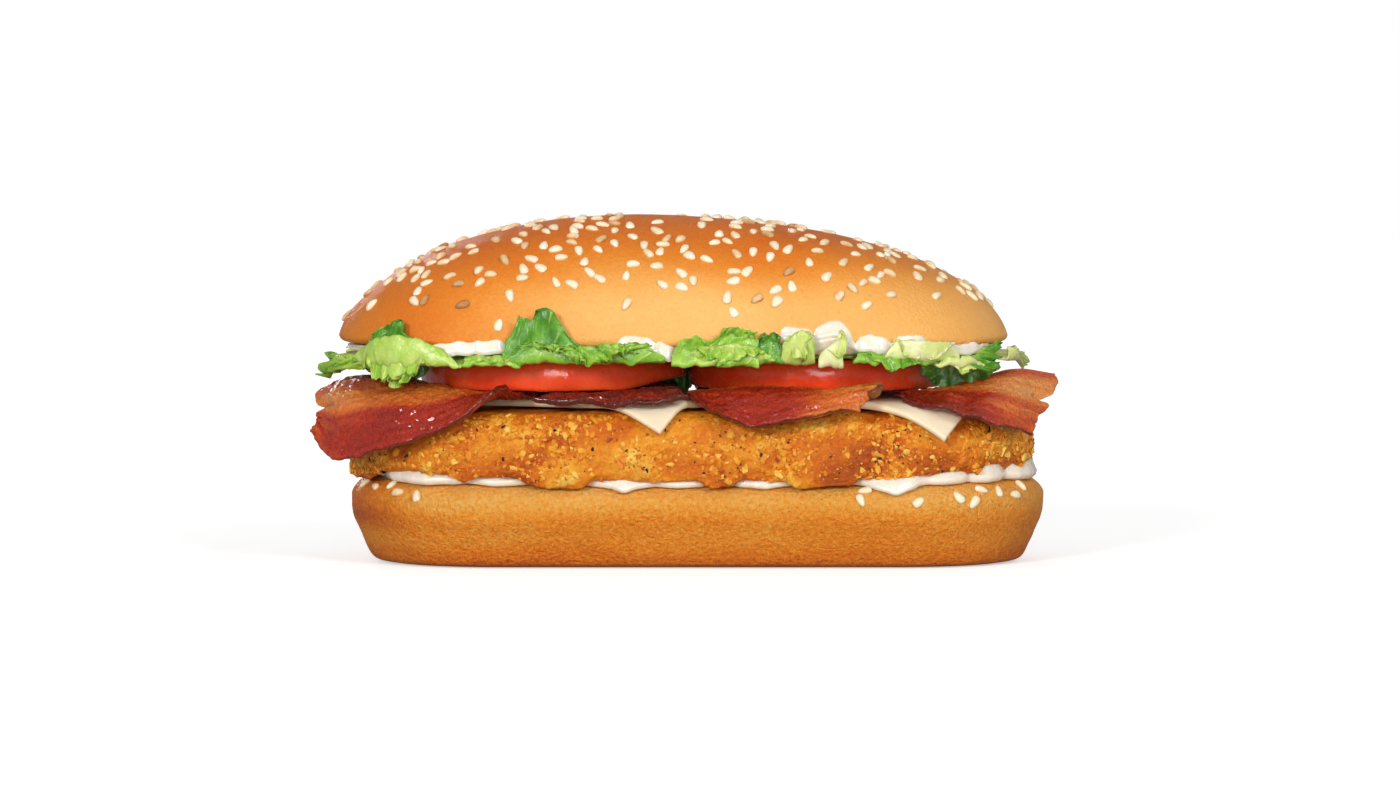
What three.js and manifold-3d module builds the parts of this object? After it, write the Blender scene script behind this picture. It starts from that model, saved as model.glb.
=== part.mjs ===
// A long chicken and bacon sandwich in a sesame bun, closed and standing on its flat base.
// Millimetres, +Z up, the front towards -Y, the long way along X.
// From below: bun heel, lower mayonnaise, breaded chicken, two cheese slices, six bacon strips,
// two tomato slices, a bed of lettuce, upper mayonnaise and the domed bun crown with its seeds.

import * as THREE from "three";
import { mergeVertices } from "three/addons/utils/BufferGeometryUtils.js";
import Module from "manifold-3d";

const wasm = await Module();
wasm.setup();

// Driving dimensions
const GAP = 0.35; // clear space between neighbouring pieces
const HEEL = { cx: 0, a: 86.4, b: 40.5, corner: 37, shoulder: 6, drop: 5, top: 20, rise: 1.1 };
const CROWN = { cx: -6, a: 83.8, b: 41, corner: 39, lip: 54.4, base: 52.6, top: 86.1, lean: 7 };
const CHICKEN = {
  cx: -1.4, a: 85.4, b: 41, corner: 36, round: 7, roundLow: 3.4, sag: 2.1,
  top: 38.6, endDrop: 2.2, relief: 1.7,
};
const CHEESE = { side: 62, thick: 1.9, spring: 0.7, bend: THREE.MathUtils.degToRad(60) };
const TOMATO = { thick: 7.7, edge: 2.6, bottom: 43.2 };
const BACON = { thick: 1.4, flat: 42.14 };
const LETTUCE = { low: 51.3, high: 52.2, leaf: 0.85, root: 51.75, step: 0.7, tip: 0.4 };
const MAYO = { thick: 1, bulge: 0.3, lowerInset: 1.8, upperLow: 52.6, swell: 4.4, upperInset: 3.4 };
const SEED = { long: 1.7, wide: 1.1, high: 0.75, sunk: 0.1, crown: 216, every: 2 };

const AROUND = { crown: 48, layer: 60 }; // steps round the crown, and round the heel and the layers

// What counts as short or flat after a join
const TIDY = { edge: 0.12, height: 0.01, area: 0.002, rounds: 4 };

// Small helpers
const clamp01 = (v) => Math.min(1, Math.max(0, v));
const smooth = (from, to, v) => {
  const s = clamp01((v - from) / (to - from));
  return s * s * (3 - 2 * s);
};
const mix = (p, q, s) => p + (q - p) * s;
const bump = (x, centre, width) => Math.exp(-(((x - centre) / width) ** 2));

// The same stream of random numbers for the same seed
function randomStream(seed) {
  let state = seed;
  return () => {
    state = (state + 0x6d2b79f5) | 0;
    let r = Math.imul(state ^ (state >>> 15), 1 | state);
    r = (r + Math.imul(r ^ (r >>> 7), 61 | r)) ^ r;
    return ((r ^ (r >>> 14)) >>> 0) / 4294967296;
  };
}

// Smooth uneven lumps of about the given size, from -1 to 1
function lumps(x, y, z, size) {
  const [p, q, r] = [x / size, y / size, z / size];
  return (
    (Math.sin(p + 1.3 * Math.sin(q + 0.7)) +
      Math.sin(1.1 * q + 1.7 * Math.sin(r + 2.1)) +
      Math.sin(1.3 * r + 1.1 * Math.sin(p + 4.2))) / 3
  );
}

// Plan outlines: rounded rectangles
// A point and its outward normal on the outline, at a share t of the way round from +X
function outline(plan, t) {
  const { cx = 0, a, b, corner } = plan;
  const [sx, sy] = [a - corner, b - corner];
  const arc = (Math.PI / 2) * corner;
  const runs = [
    [sy, a, 0, 0, 1, 0], [arc, sx, sy, 0, 0, 1], [2 * sx, sx, b, -1, 0, 0], [arc, -sx, sy, 0, 0, 2],
    [2 * sy, -a, sy, 0, -1, 0], [arc, -sx, -sy, 0, 0, 3], [2 * sx, -sx, -b, 1, 0, 0], [arc, sx, -sy, 0, 0, 4],
    [sy, a, -sy, 0, 1, 0],
  ];
  let left = t * runs.reduce((sum, run) => sum + run[0], 0);
  for (const [length, x, y, dx, dy, quarter] of runs) {
    if (left > length) {
      left -= length;
      continue;
    }
    if (quarter) {
      const angle = ((quarter - 1) * Math.PI) / 2 + left / corner;
      const [nx, ny] = [Math.cos(angle), Math.sin(angle)];
      return { x: cx + x + corner * nx, y: y + corner * ny, nx, ny };
    }
    return { x: cx + x + dx * left, y: y + dy * left, nx: dy, ny: -dx };
  }
  return { x: cx + a, y: 0, nx: 1, ny: 0 };
}

// Signed distance to the outline, negative inside, with the outward normal
function distanceTo(plan, x, y) {
  const { cx = 0, a, b, corner } = plan;
  const qx = Math.abs(x - cx) - (a - corner);
  const qy = Math.abs(y) - (b - corner);
  const [ox, oy] = [Math.max(qx, 0), Math.max(qy, 0)];
  const outside = Math.hypot(ox, oy);
  const [sx, sy] = [Math.sign(x - cx) || 1, Math.sign(y) || 1];
  if (outside > 0) return { d: outside - corner, nx: (sx * ox) / outside, ny: (sy * oy) / outside };
  return qx > qy ? { d: qx - corner, nx: sx, ny: 0 } : { d: qy - corner, nx: 0, ny: sy };
}

const inset = (plan, by) => ({ ...plan, a: plan.a - by, b: plan.b - by, corner: plan.corner - by });

// Solids
// A body of rings over a plan: each profile step gives the point for a share t of the way round
function ringBody(steps, place, around = AROUND.layer) {
  const profile = steps.map((step, i) => new THREE.Vector2(i === 0 || i === steps.length - 1 ? 0 : 1, i));
  const geometry = new THREE.LatheGeometry(profile, around);
  const position = geometry.getAttribute("position");
  for (let i = 0; i <= around; i++)
    steps.forEach((step, j) => position.setXYZ(i * steps.length + j, ...place((i % around) / around, step)));
  return geometry;
}

// A thin sheet: a grid of points with normals, both faces split alike, closed round its edge
function sheetBody(across, along, surface, thick) {
  const grid = new THREE.PlaneGeometry(1, 1, across, along);
  const face = Array.from(grid.index.array);
  const uv = grid.getAttribute("uv");
  const points = [];
  const index = [];
  for (const side of [1, -1])
    for (let i = 0; i < uv.count; i++) {
      const { point, normal } = surface(uv.getX(i), uv.getY(i));
      points.push(...point.clone().addScaledVector(normal, (side * thick) / 2).toArray());
    }
  const count = uv.count;
  for (let i = 0; i < face.length; i += 3) {
    index.push(face[i], face[i + 1], face[i + 2]);
    index.push(face[i] + count, face[i + 2] + count, face[i + 1] + count);
  }
  const row = across + 1;
  const rim = [];
  for (let i = 0; i < across; i++) rim.push(i);
  for (let j = 0; j < along; j++) rim.push(j * row + across);
  for (let i = across; i > 0; i--) rim.push(along * row + i);
  for (let j = along; j > 0; j--) rim.push(j * row);
  rim.forEach((p, i) => {
    const q = rim[(i + 1) % rim.length];
    index.push(p, q, q + count, p, q + count, p + count);
  });
  const geometry = new THREE.BufferGeometry();
  geometry.setAttribute("position", new THREE.Float32BufferAttribute(points, 3));
  geometry.setIndex(index);
  return geometry;
}

// The normal of a surface of (u, v) by small steps
function withNormal(at) {
  const step = 0.01;
  return (u, v) => {
    const alongU = at(Math.min(1, u + step), v).sub(at(Math.max(0, u - step), v));
    const alongV = at(u, Math.min(1, v + step)).sub(at(u, Math.max(0, v - step)));
    return { point: at(u, v), normal: alongU.cross(alongV).normalize() };
  };
}

// A smooth patch through rows of control points, each row running along u
function patch(rows) {
  const spline = (points) => new THREE.CatmullRomCurve3(points, false, "catmullrom", 0.5);
  const curves = rows.map((row) => spline(row.map((p) => new THREE.Vector3(...p))));
  return (u, v) => spline(curves.map((curve) => curve.getPoint(u))).getPoint(v);
}

// Booleans
function solidOf(geometry) {
  const bare = geometry.clone();
  for (const name of Object.keys(bare.attributes)) if (name !== "position") bare.deleteAttribute(name);
  const merged = mergeVertices(bare, 1e-3);
  const corner = Array.from(merged.index.array);
  const kept = [];
  for (let i = 0; i < corner.length; i += 3) {
    const [p, q, r] = corner.slice(i, i + 3);
    if (p !== q && q !== r && p !== r) kept.push(p, q, r);
  }
  const make = (triVerts) =>
    new wasm.Manifold(
      new wasm.Mesh({
        numProp: 3,
        vertProperties: new Float32Array(merged.attributes.position.array),
        triVerts: new Uint32Array(triVerts),
      }),
    );
  const solid = make(kept);
  if (solid.volume() > 0) return solid;
  for (let i = 0; i < kept.length; i += 3) [kept[i + 1], kept[i + 2]] = [kept[i + 2], kept[i + 1]];
  return make(kept);
}

// The largest piece of a solid, its loose scraps dropped
const largest = (solid) => solid.decompose().reduce((best, s) => (s.volume() > best.volume() ? s : best));

function geometryOf(solid) {
  const mesh = solid.getMesh();
  const geometry = new THREE.BufferGeometry();
  geometry.setAttribute("position", new THREE.BufferAttribute(new Float32Array(mesh.vertProperties), 3));
  geometry.setIndex(new THREE.BufferAttribute(new Uint32Array(mesh.triVerts), 1));
  geometry.computeVertexNormals();
  return geometry;
}

// Closes the very short edges, and turns the diagonals of the flat triangles, that joins leave behind
function tidied(solid) {
  const { vertProperties, triVerts } = solid.getMesh();
  const points = [];
  for (let i = 0; i < vertProperties.length; i += 3) {
    points.push(new THREE.Vector3().fromArray(vertProperties, i));
  }
  const faces = [];
  const facesAt = points.map(() => new Set());
  for (let i = 0; i < triVerts.length; i += 3) {
    for (const v of triVerts.slice(i, i + 3)) facesAt[v].add(faces.length);
    faces.push(Array.from(triVerts.slice(i, i + 3)));
  }
  const corners = (face, from, to) => faces[face].map((v) => (v === from ? to : points[v]));
  const cross = ([p, q, r]) => q.clone().sub(p).cross(r.clone().sub(p));
  const near = (v) => new Set([...facesAt[v]].flatMap((face) => faces[face]).filter((w) => w !== v));
  const shared = (p, q) => [...facesAt[p]].filter((face) => facesAt[q].has(face));
  const closeEdge = (p, q) => {
    const both = shared(p, q);
    const nearQ = near(q);
    if (both.length !== 2 || [...near(p)].filter((v) => nearQ.has(v)).length !== 2) return;
    const middle = points[p].clone().lerp(points[q], 0.5);
    for (const v of [p, q])
      for (const face of facesAt[v]) {
        if (both.includes(face)) continue;
        const before = cross(corners(face));
        if (before.length() > TIDY.area && before.dot(cross(corners(face, v, middle))) <= 0) return;
      }
    points[p].copy(middle);
    for (const face of both) {
      for (const v of faces[face]) facesAt[v].delete(face);
      faces[face] = null;
    }
    for (const face of facesAt[q]) {
      faces[face] = faces[face].map((v) => (v === q ? p : v));
      facesAt[p].add(face);
    }
    facesAt[q].clear();
  };
  const turnDiagonal = (face, p, q, r) => {
    const other = shared(p, q).find((f) => f !== face);
    const s = faces[other].find((v) => v !== p && v !== q);
    if (near(r).has(s)) return;
    faces[face] = [r, s, q];
    faces[other] = [s, r, p];
    facesAt[p].delete(face);
    facesAt[q].delete(other);
    facesAt[s].add(face);
    facesAt[r].add(other);
  };
  for (let round = 0; round < TIDY.rounds; round++)
    for (let face = 0; face < faces.length; face++) {
      if (!faces[face]) continue;
      const [p, q, r] = faces[face];
      const sides = [[p, q, r], [q, r, p], [r, p, q]];
      const long = ([a, b]) => points[a].distanceTo(points[b]);
      sides.sort((one, two) => long(one) - long(two));
      if (long(sides[0]) < TIDY.edge) closeEdge(sides[0][0], sides[0][1]);
      else if (cross(corners(face)).length() / long(sides[2]) < TIDY.height) turnDiagonal(face, ...sides[2]);
    }
  const geometry = new THREE.BufferGeometry();
  geometry.setAttribute("position", new THREE.Float32BufferAttribute(points.flatMap((v) => v.toArray()), 3));
  geometry.setIndex(faces.filter((face) => face).flat());
  return largest(solidOf(geometry));
}

// Bun heel: a dished top, a round shoulder, sides that draw in to a flat base
const heelTop = (x) => HEEL.top + HEEL.rise * Math.min(1, (x / 80) ** 2);
const heelShoulder = inset(HEEL, HEEL.shoulder);
// A point at a run s past the shoulder line, over the edge and down the side, lifted off the skin
function overHeel(t, s, lift) {
  const q = outline(heelShoulder, t);
  const top = heelTop(q.x);
  const quarter = (Math.PI / 2) * HEEL.drop;
  const angle = Math.min(Math.max(s, 0), quarter) / HEEL.drop;
  const off = Math.min(s, 0) + HEEL.shoulder * Math.sin(angle) + lift * Math.sin(angle);
  const down = HEEL.drop * (1 - Math.cos(angle)) + Math.max(0, s - quarter);
  return [q.x + q.nx * off, q.y + q.ny * off, top - down + lift * Math.cos(angle)];
}
const heelSide = [[0.6, 11.6], [-0.8, 8.2], [-2.3, 4.8], [-3.8, 2], [-5.4, 0.6], [-8.4, 0]];
function heelGeometry() {
  const steps = [{ k: 0, z: 0 }, { k: 0.6, z: 0 }];
  for (const [off, z] of [...heelSide].reverse()) steps.push({ off: off + 5, z: z });
  for (const angle of [90, 60, 30, 0]) steps.push({ arc: (angle / 180) * Math.PI * HEEL.drop });
  steps.push({ k: 0.6 }, { k: 0 });
  return ringBody(steps, (t, step) => {
    if (step.arc !== undefined) return overHeel(t, step.arc, 0);
    const q = outline(heelShoulder, t);
    if (step.off !== undefined) return [q.x + q.nx * step.off, q.y + q.ny * step.off, step.z];
    return [q.x * step.k, q.y * step.k, step.z ?? heelTop(q.x * step.k)];
  });
}

// Bun crown: a long dome that leans a little to the left, over a round lip and a flat cut
function crownPoint(t, k, grow = 0) {
  const q = outline(CROWN, t);
  const high = Math.sqrt(Math.max(0, 1 - k * k));
  const z = CROWN.base + (CROWN.top - CROWN.base) * high;
  const lean = -CROWN.lean * high ** 4;
  const x = CROWN.cx + (q.x - CROWN.cx) * k + lean;
  return [x + q.nx * grow * k, q.y * k + q.ny * grow * k, z + grow * high];
}
function crownGeometry(grow = 0) {
  const steps = [{ flat: 0 }, { flat: 0.6 }, { flat: 0.955 }, { flat: 0.985, up: 0.5 }];
  const degrees = [6, 13, 21, 30, 40, 52, 65, 78];
  for (const up of degrees) steps.push({ k: Math.cos((up / 180) * Math.PI) });
  steps.push({ k: 0 });
  return ringBody(steps, (t, step) => {
    if (step.k !== undefined) return crownPoint(t, step.k, grow);
    const q = outline(CROWN, t);
    const share = step.flat;
    const z = CROWN.lip + (step.up ?? 0) - grow;
    const out = share * grow;
    return [CROWN.cx + (q.x - CROWN.cx) * share + q.nx * out, q.y * share + q.ny * out, z];
  }, AROUND.crown);
}

// Sesame seeds: flat teardrops lying on the skin, half sunk
function seedSolid(at, normal, turn, size) {
  const drop = new THREE.SphereGeometry(1, 6, 2).rotateX(Math.PI / 2);
  const position = drop.getAttribute("position");
  for (let i = 0; i < position.count; i++) {
    const taper = 1 - 0.35 * position.getX(i);
    position.setXYZ(
      i,
      position.getX(i) * SEED.long * size,
      position.getY(i) * SEED.wide * size * taper,
      position.getZ(i) * SEED.high * size,
    );
  }
  const up = new THREE.Vector3(0, 0, 1);
  drop.applyQuaternion(new THREE.Quaternion().setFromAxisAngle(up, turn));
  drop.applyQuaternion(new THREE.Quaternion().setFromUnitVectors(up, normal));
  drop.translate(...at.clone().addScaledVector(normal, SEED.sunk).toArray());
  return solidOf(drop);
}
// Places on the dome by a rule: even over its area, thinner near the lip, none closer than a seed's width
function crownSeedPlaces() {
  const random = randomStream(7);
  const places = [];
  for (let tries = 0; places.length < SEED.crown && tries < 6000; tries++) {
    const [t, share, chance, turn, size] = [random(), random(), random(), random(), random()];
    const k = 0.1 + 0.89 * Math.sqrt(share);
    const at = new THREE.Vector3(...crownPoint(t, k));
    if (chance < smooth(0.9, 1, k) || places.some((p) => p.at.distanceTo(at) < 2.9)) continue;
    const ahead = new THREE.Vector3(...crownPoint((t + 0.002) % 1, k)).sub(at);
    const inward = new THREE.Vector3(...crownPoint(t, k - 0.01)).sub(at);
    const normal = ahead.cross(inward).normalize();
    places.push({ at, normal, turn: turn * 2 * Math.PI, size: 0.9 + 0.2 * size });
  }
  return places;
}
// The heel has a few seeds, mostly near its ends: share of the way round and run past the shoulder
const heelSeeds = [
  [0.535, 3.6], [0.5515, 4.2], [0.564, 3.2], [0.573, 5.2], [0.586, 5.8], [0.8505, 3.4], [0.848, 6.2],
  [0.881, 6.8], [0.9025, 6], [0.911, 7.4], [0.9175, 4.2], [0.9285, 5], [0.94, 6.2], [0.9505, 4],
  [0.05, 4.2], [0.12, 3.6], [0.31, 4.4], [0.44, 4.0],
];
function seededHeel(neighbour) {
  const seeds = heelSeeds.map(([t, run], i) => {
    const at = new THREE.Vector3(...overHeel(t, run, 0));
    const normal = new THREE.Vector3(...overHeel(t, run, 1)).sub(at).normalize();
    const roomy = seedSolid(at, normal, i * 1.9, 1.4);
    return roomy.intersect(neighbour).isEmpty() ? [seedSolid(at, normal, i * 1.9, 1)] : [];
  });
  return tidied(largest(wasm.Manifold.union([solidOf(heelGeometry()), ...seeds.flat()])));
}
function seededCrown() {
  const shown = crownSeedPlaces().filter((place, i) => i % SEED.every === 0);
  const seeds = shown.map(({ at, normal, turn, size }) => seedSolid(at, normal, turn, size * 1.08));
  return tidied(largest(wasm.Manifold.union([solidOf(crownGeometry()), ...seeds])));
}

// Breaded chicken: follows the dished heel and sags over its shoulder, with crags that only go inwards
const chickenShoulder = inset(CHICKEN, CHICKEN.round);
const chickenTop = (x) => CHICKEN.top - CHICKEN.endDrop * Math.abs((x - CHICKEN.cx) / CHICKEN.a) ** 4;
const chickenBottom = (x) => heelTop(x) + 2 * GAP + MAYO.thick + MAYO.bulge;
const SAG_END = THREE.MathUtils.degToRad(35); // where round the lower edge the sag is complete
// How far the lower edge sags: most of what the heel's shoulder falls below it
function chickenSag(x, y) {
  const out = clamp01(distanceTo(heelShoulder, x, y).d / HEEL.shoulder);
  return Math.min(CHICKEN.sag, 0.8 * HEEL.drop * (1 - Math.sqrt(1 - out * out)));
}
function chickenGeometry(grow = 0) {
  const arc = (from, to, count) => Array.from({ length: count }, (_, i) => mix(from, to, i / (count - 1)));
  const steps = [{ k: 0, low: true }, { k: 0.5, low: true }];
  for (const degrees of arc(0, 90, 5)) steps.push({ degrees, low: true });
  steps.push({ middle: true });
  for (const degrees of arc(90, 0, 5)) steps.push({ degrees });
  steps.push({ k: 0.7 }, { k: 0.35 }, { k: 0 });
  return ringBody(steps, (t, step) => {
    const q = outline(chickenShoulder, t);
    const [low, high] = [chickenBottom(q.x) - grow, chickenTop(q.x) + grow];
    const round = (step.low ? CHICKEN.roundLow : CHICKEN.round) + grow;
    if (step.k !== undefined) {
      const x = CHICKEN.cx + (q.x - CHICKEN.cx) * step.k;
      return [x, q.y * step.k, step.low ? chickenBottom(x) - grow : chickenTop(x) + grow];
    }
    const angle = step.middle ? Math.PI / 2 : (step.degrees / 180) * Math.PI;
    const off = CHICKEN.round + grow - round * (1 - Math.sin(angle)) + (step.middle ? 0.4 : 0);
    const fall = round * (1 - Math.cos(angle));
    const sag = chickenSag(q.x + q.nx * off, q.y + q.ny * off) * smooth(0, SAG_END, angle);
    const z = step.middle ? (low + high) / 2 : step.low ? low + fall - sag : high - fall;
    const crag = grow ? 0 : Math.sin(angle) * CHICKEN.relief *
      (0.5 + 0.3 * lumps(q.x, q.y, 3 * z, 5.2) + 0.2 * lumps(q.x, q.y, 3 * z, 2.3));
    return [q.x + q.nx * (off - crag), q.y + q.ny * (off - crag), z];
  }, grow ? AROUND.crown : AROUND.layer);
}

// Where a limp sheet lies on the chicken and over its shoulder: x and y measured along the sheet
function drape(x, y, flatLift, bend) {
  const { d, nx, ny } = distanceTo(chickenShoulder, x, y);
  if (d <= 0) {
    return { point: new THREE.Vector3(x, y, chickenTop(x) + flatLift), normal: new THREE.Vector3(0, 0, 1) };
  }
  const angle = Math.min(d / (CHICKEN.round + flatLift), bend);
  const rest = d - (CHICKEN.round + flatLift) * angle;
  const lift = flatLift + CHEESE.spring * Math.sin(Math.min(2 * angle, Math.PI / 2));
  const round = CHICKEN.round + lift;
  const out = round * Math.sin(angle) + rest * Math.cos(angle);
  const down = round * (1 - Math.cos(angle)) + rest * Math.sin(angle) - lift;
  const [qx, qy] = [x - nx * d, y - ny * d];
  return {
    point: new THREE.Vector3(qx + nx * out, qy + ny * out, chickenTop(qx) - down),
    normal: new THREE.Vector3(nx * Math.sin(angle), ny * Math.sin(angle), Math.cos(angle)),
  };
}

// Cheese: square slices turned so that one corner hangs over the front
const cheeseSlices = {
  cheese_left: { x: -9.1, y: -46.4, turn: 35 },
  cheese_right: { x: 61.2, y: -45.8, turn: 23 },
};
function cheeseGeometry({ x, y, turn }, grow = 0) {
  const angle = THREE.MathUtils.degToRad(turn);
  const size = CHEESE.side + 2 * grow;
  const surface = (u, v) => {
    const [p, q] = [u * size - grow, v * size - grow];
    const flatX = x + p * Math.sin(angle) - q * Math.cos(angle);
    const flatY = y + p * Math.cos(angle) + q * Math.sin(angle);
    return drape(flatX, flatY, 1.6 * GAP + CHEESE.thick / 2, CHEESE.bend);
  };
  return sheetBody(10, 10, surface, CHEESE.thick + 2 * grow);
}

// Bacon: wavy strips, each a patch through a back, a middle and a front row of points
const FLAT = BACON.flat;
const baconLeft = [
  [[-93, -12, 42.6], [-87, -12, 45.6], [-76, -16, 46.2], [-66, -19, 44.6], [-45, -8, FLAT], [-32, 0, FLAT]],
  [
    [-93.8, -22, 37.8], [-86.5, -30, 39.6], [-72.7, -37, 41],
    [-59.2, -38, 42.6], [-47, -29, FLAT], [-35, -12, FLAT],
  ],
  [
    [-94.4, -27, 33.1], [-87.9, -35, 26.4], [-72.4, -43.5, 31],
    [-59, -46, 35.7], [-48.9, -42, 44.4], [-40, -22, FLAT],
  ],
];
const baconMiddle = [
  [[-35, -24, FLAT], [-24, -21, FLAT], [-13, -18, FLAT], [-4, -17, FLAT]],
  [[-37, -33.5, 41.9], [-24, -36.5, 42.6], [-13, -37, 43.2], [-4, -37, 43.6]],
  [[-39, -38, 41.6], [-24, -41.5, 40.4], [-13, -43.5, 40.6], [-3.2, -43, 42.4]],
];
const baconCentre = [
  [[-2, -19, FLAT], [9, -20, FLAT], [20, -20, FLAT], [32, -22, FLAT], [43, -23, FLAT]],
  [[-1.8, -33, FLAT], [7, -38, 43.3], [19, -40, 43.6], [32, -42, 43.4], [44.5, -43, 45]],
  [[-1.4, -38, 42.4], [6.5, -46, 37.4], [17, -48, 35.4], [28.5, -48, 38.2], [39, -47.5, 38.8]],
];
const baconRight = [
  [[49, -12, FLAT], [58, -20, 42.8], [66, -21, 44.6], [78, -18, 47.8], [88.6, -14, 46.6]],
  [[51, -26, FLAT], [59.5, -31, 42.8], [67, -31, 42.8], [76, -31, 42.4], [86.2, -25, 39]],
  [[50.5, -38, 41.4], [60, -43.5, 39.2], [66, -43, 37.6], [73, -41, 35.6], [81.2, -34.5, 32.8]],
];
const baconBackLeft = [
  [[-4, 18, FLAT], [-18, 17, FLAT], [-32, 18, FLAT], [-47, 19, FLAT], [-61, 20, FLAT]],
  [[-3, 32, FLAT], [-18, 36, 42.8], [-32, 39, 43.4], [-46, 38, 43], [-60, 34, 42.4]],
  [[-2, 38, 41.4], [-18, 44.5, 38], [-32, 47.5, 35.6], [-45, 46, 37], [-58.6, 42, 40]],
];
const baconBackRight = [
  [[0, 15, FLAT], [14, 17, FLAT], [29, 18, FLAT], [44, 19, FLAT], [58, 21, FLAT]],
  [[1, 33, FLAT], [15, 36, 42.7], [29, 36.5, 43.2], [43, 36, 43.4], [57, 34, 42.6]],
  [[2, 38, 41.6], [16, 41.5, 40.2], [29, 43, 39.4], [42, 43.5, 39.6], [56, 40, 40.6]],
];
const onCheese = () => BACON.flat - CHICKEN.top;
const pastCheese = (x) => mix(onCheese(), 1.2, smooth(-66, -74, x));
const baconStrips = {
  bacon_left: { rows: baconLeft, along: 13, wave: 0.5, clear: pastCheese },
  bacon_middle: { rows: baconMiddle, along: 7, wave: 0.3, clear: onCheese },
  bacon_centre: { rows: baconCentre, along: 9, wave: 0.35, clear: onCheese },
  bacon_right: { rows: baconRight, along: 9, wave: 0.45, clear: onCheese },
  bacon_back_left: { rows: baconBackLeft, along: 10, wave: 0.35, clear: onCheese },
  bacon_back_right: { rows: baconBackRight, along: 10, wave: 0.3, clear: onCheese },
};
// Moves a point down to the flat level under the tomatoes, then out of the chicken's rounded shoulder
function beside(point, clear) {
  for (const { x, y, radius } of Object.values(tomatoSlices)) {
    const under = smooth(-5, -1, radius - Math.hypot(point.x - x, point.y - y));
    point.z = Math.min(point.z, mix(point.z, BACON.flat, under));
  }
  const { d, nx, ny } = distanceTo(chickenShoulder, point.x, point.y);
  const top = chickenTop(point.x - nx * Math.max(d, 0));
  const round = CHICKEN.round + clear;
  if (d <= 0) {
    point.z = Math.max(point.z, top + clear);
    return point;
  }
  const up = Math.max(0, point.z - (top - CHICKEN.round));
  const away = Math.hypot(d, up);
  if (away >= round) return point;
  const out = (d / away) * round - d;
  point.x += nx * out;
  point.y += ny * out;
  if (up > 0) point.z = top - CHICKEN.round + (up / away) * round;
  return point;
}
function baconGeometry({ rows, along, wave, clear }) {
  const at = patch(rows);
  const surface = withNormal((u, v) => {
    const point = at(u, v);
    const free = smooth(0.45, 0.8, v);
    point.z += wave * free * Math.sin(u * 19 + 3 * v);
    point.x += 0.8 * Math.sin(7 * v) * (smooth(0.75, 1, u) - smooth(0.25, 0, u));
    return beside(point, clear(point.x));
  });
  return sheetBody(along, 5, surface, BACON.thick);
}

// Tomato: two round slices with a full skin edge, the left one lifting where it meets the right
const tomatoSlices = {
  tomato_left: { x: -35.8, y: -1.5, radius: 33.1, lift: 2.6 },
  tomato_right: { x: 29.6, y: 1, radius: 32.2, lift: 0 },
};
function tomatoGeometry({ x, y, radius, lift }, grow = 0) {
  const half = TOMATO.thick / 2;
  const steps = [{ k: 0, side: -1 }, { k: 0.6, side: -1 }];
  for (const degrees of [-90, -30, 30, 90]) steps.push({ degrees });
  steps.push({ k: 0.6, side: 1 }, { k: 0, side: 1 });
  const place = (t, step) => {
    const angle = t * 2 * Math.PI;
    const round = ((step.degrees ?? 0) / 180) * Math.PI;
    const side = step.side ?? Math.sin(round);
    const rim = radius - TOMATO.edge;
    const r = step.k !== undefined ? rim * step.k : rim + TOMATO.edge * Math.cos(round) + grow;
    const [dx, dy] = [r * Math.cos(angle), r * Math.sin(angle)];
    const raise = lift * smooth(0.45 * radius, radius, dx) * Math.max(0, -side);
    const z = TOMATO.bottom + half + side * (half + grow) + raise;
    return [x + dx, y + dy, z];
  };
  return ringBody(steps, place, 32);
}

// Lower mayonnaise: a film on the heel that runs over its shoulder in a few places along the front and back
const lowerDrips = [
  [-66, 9, 4.6], [-49, 8, 3.2], [-18, 8, 5.6], [-5, 7, 4], [16, 7, 4.6],
  [48, 8, 6.8], [60, 6, 3.4], [70, 5, 3.4], [79, 5, 3.8],
];
const dripAt = (drips, x) =>
  drips.reduce((most, [at, width, depth]) => Math.max(most, depth * bump(x, at, width)), 0);
function lowerMayoGeometry() {
  const reach = (t) => {
    const q = outline(heelShoulder, t);
    return dripAt(lowerDrips, q.y < 0 ? q.x : -q.x) - MAYO.lowerInset;
  };
  const full = (t) => MAYO.thick * mix(1, 0.85, smooth(-1, 2, reach(t)));
  const steps = [
    { k: 0 }, { k: 0.6 }, { run: -1 }, { run: -0.55 }, { run: -0.27 }, { run: 0 },
    { run: 0, skin: 1 }, { run: -0.27, skin: 1 }, { run: -0.55, skin: 1 }, { run: -1, skin: 1 },
    { k: 0.6, skin: 1 }, { k: 0, skin: 1 },
  ];
  return ringBody(steps, (t, { k, run, skin = 0 }) => {
    if (k !== undefined) {
      const q = outline(heelShoulder, t);
      return [q.x * k, q.y * k, heelTop(q.x * k) + GAP + skin * MAYO.thick];
    }
    const end = reach(t);
    const s = mix(-MAYO.lowerInset - 1, end, 1 + run);
    const thin = run === 0 ? 0.45 : 1;
    const middle = run === 0 ? 0.25 : 0;
    const over = MAYO.bulge * smooth(-1, 3, end);
    return overHeel(t, s, GAP + over + full(t) * (middle + skin * thin));
  });
}

// Upper mayonnaise: a film under the crown whose edge swells out below and in front of the lip
const upperDrips = [
  [-60, 8, 2.2], [-50, 6, 2.4], [-16, 6, 2.4], [25, 8, 3.4], [43, 7, 2.8], [54, 6, 2], [69, 6, 2.6],
];
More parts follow.
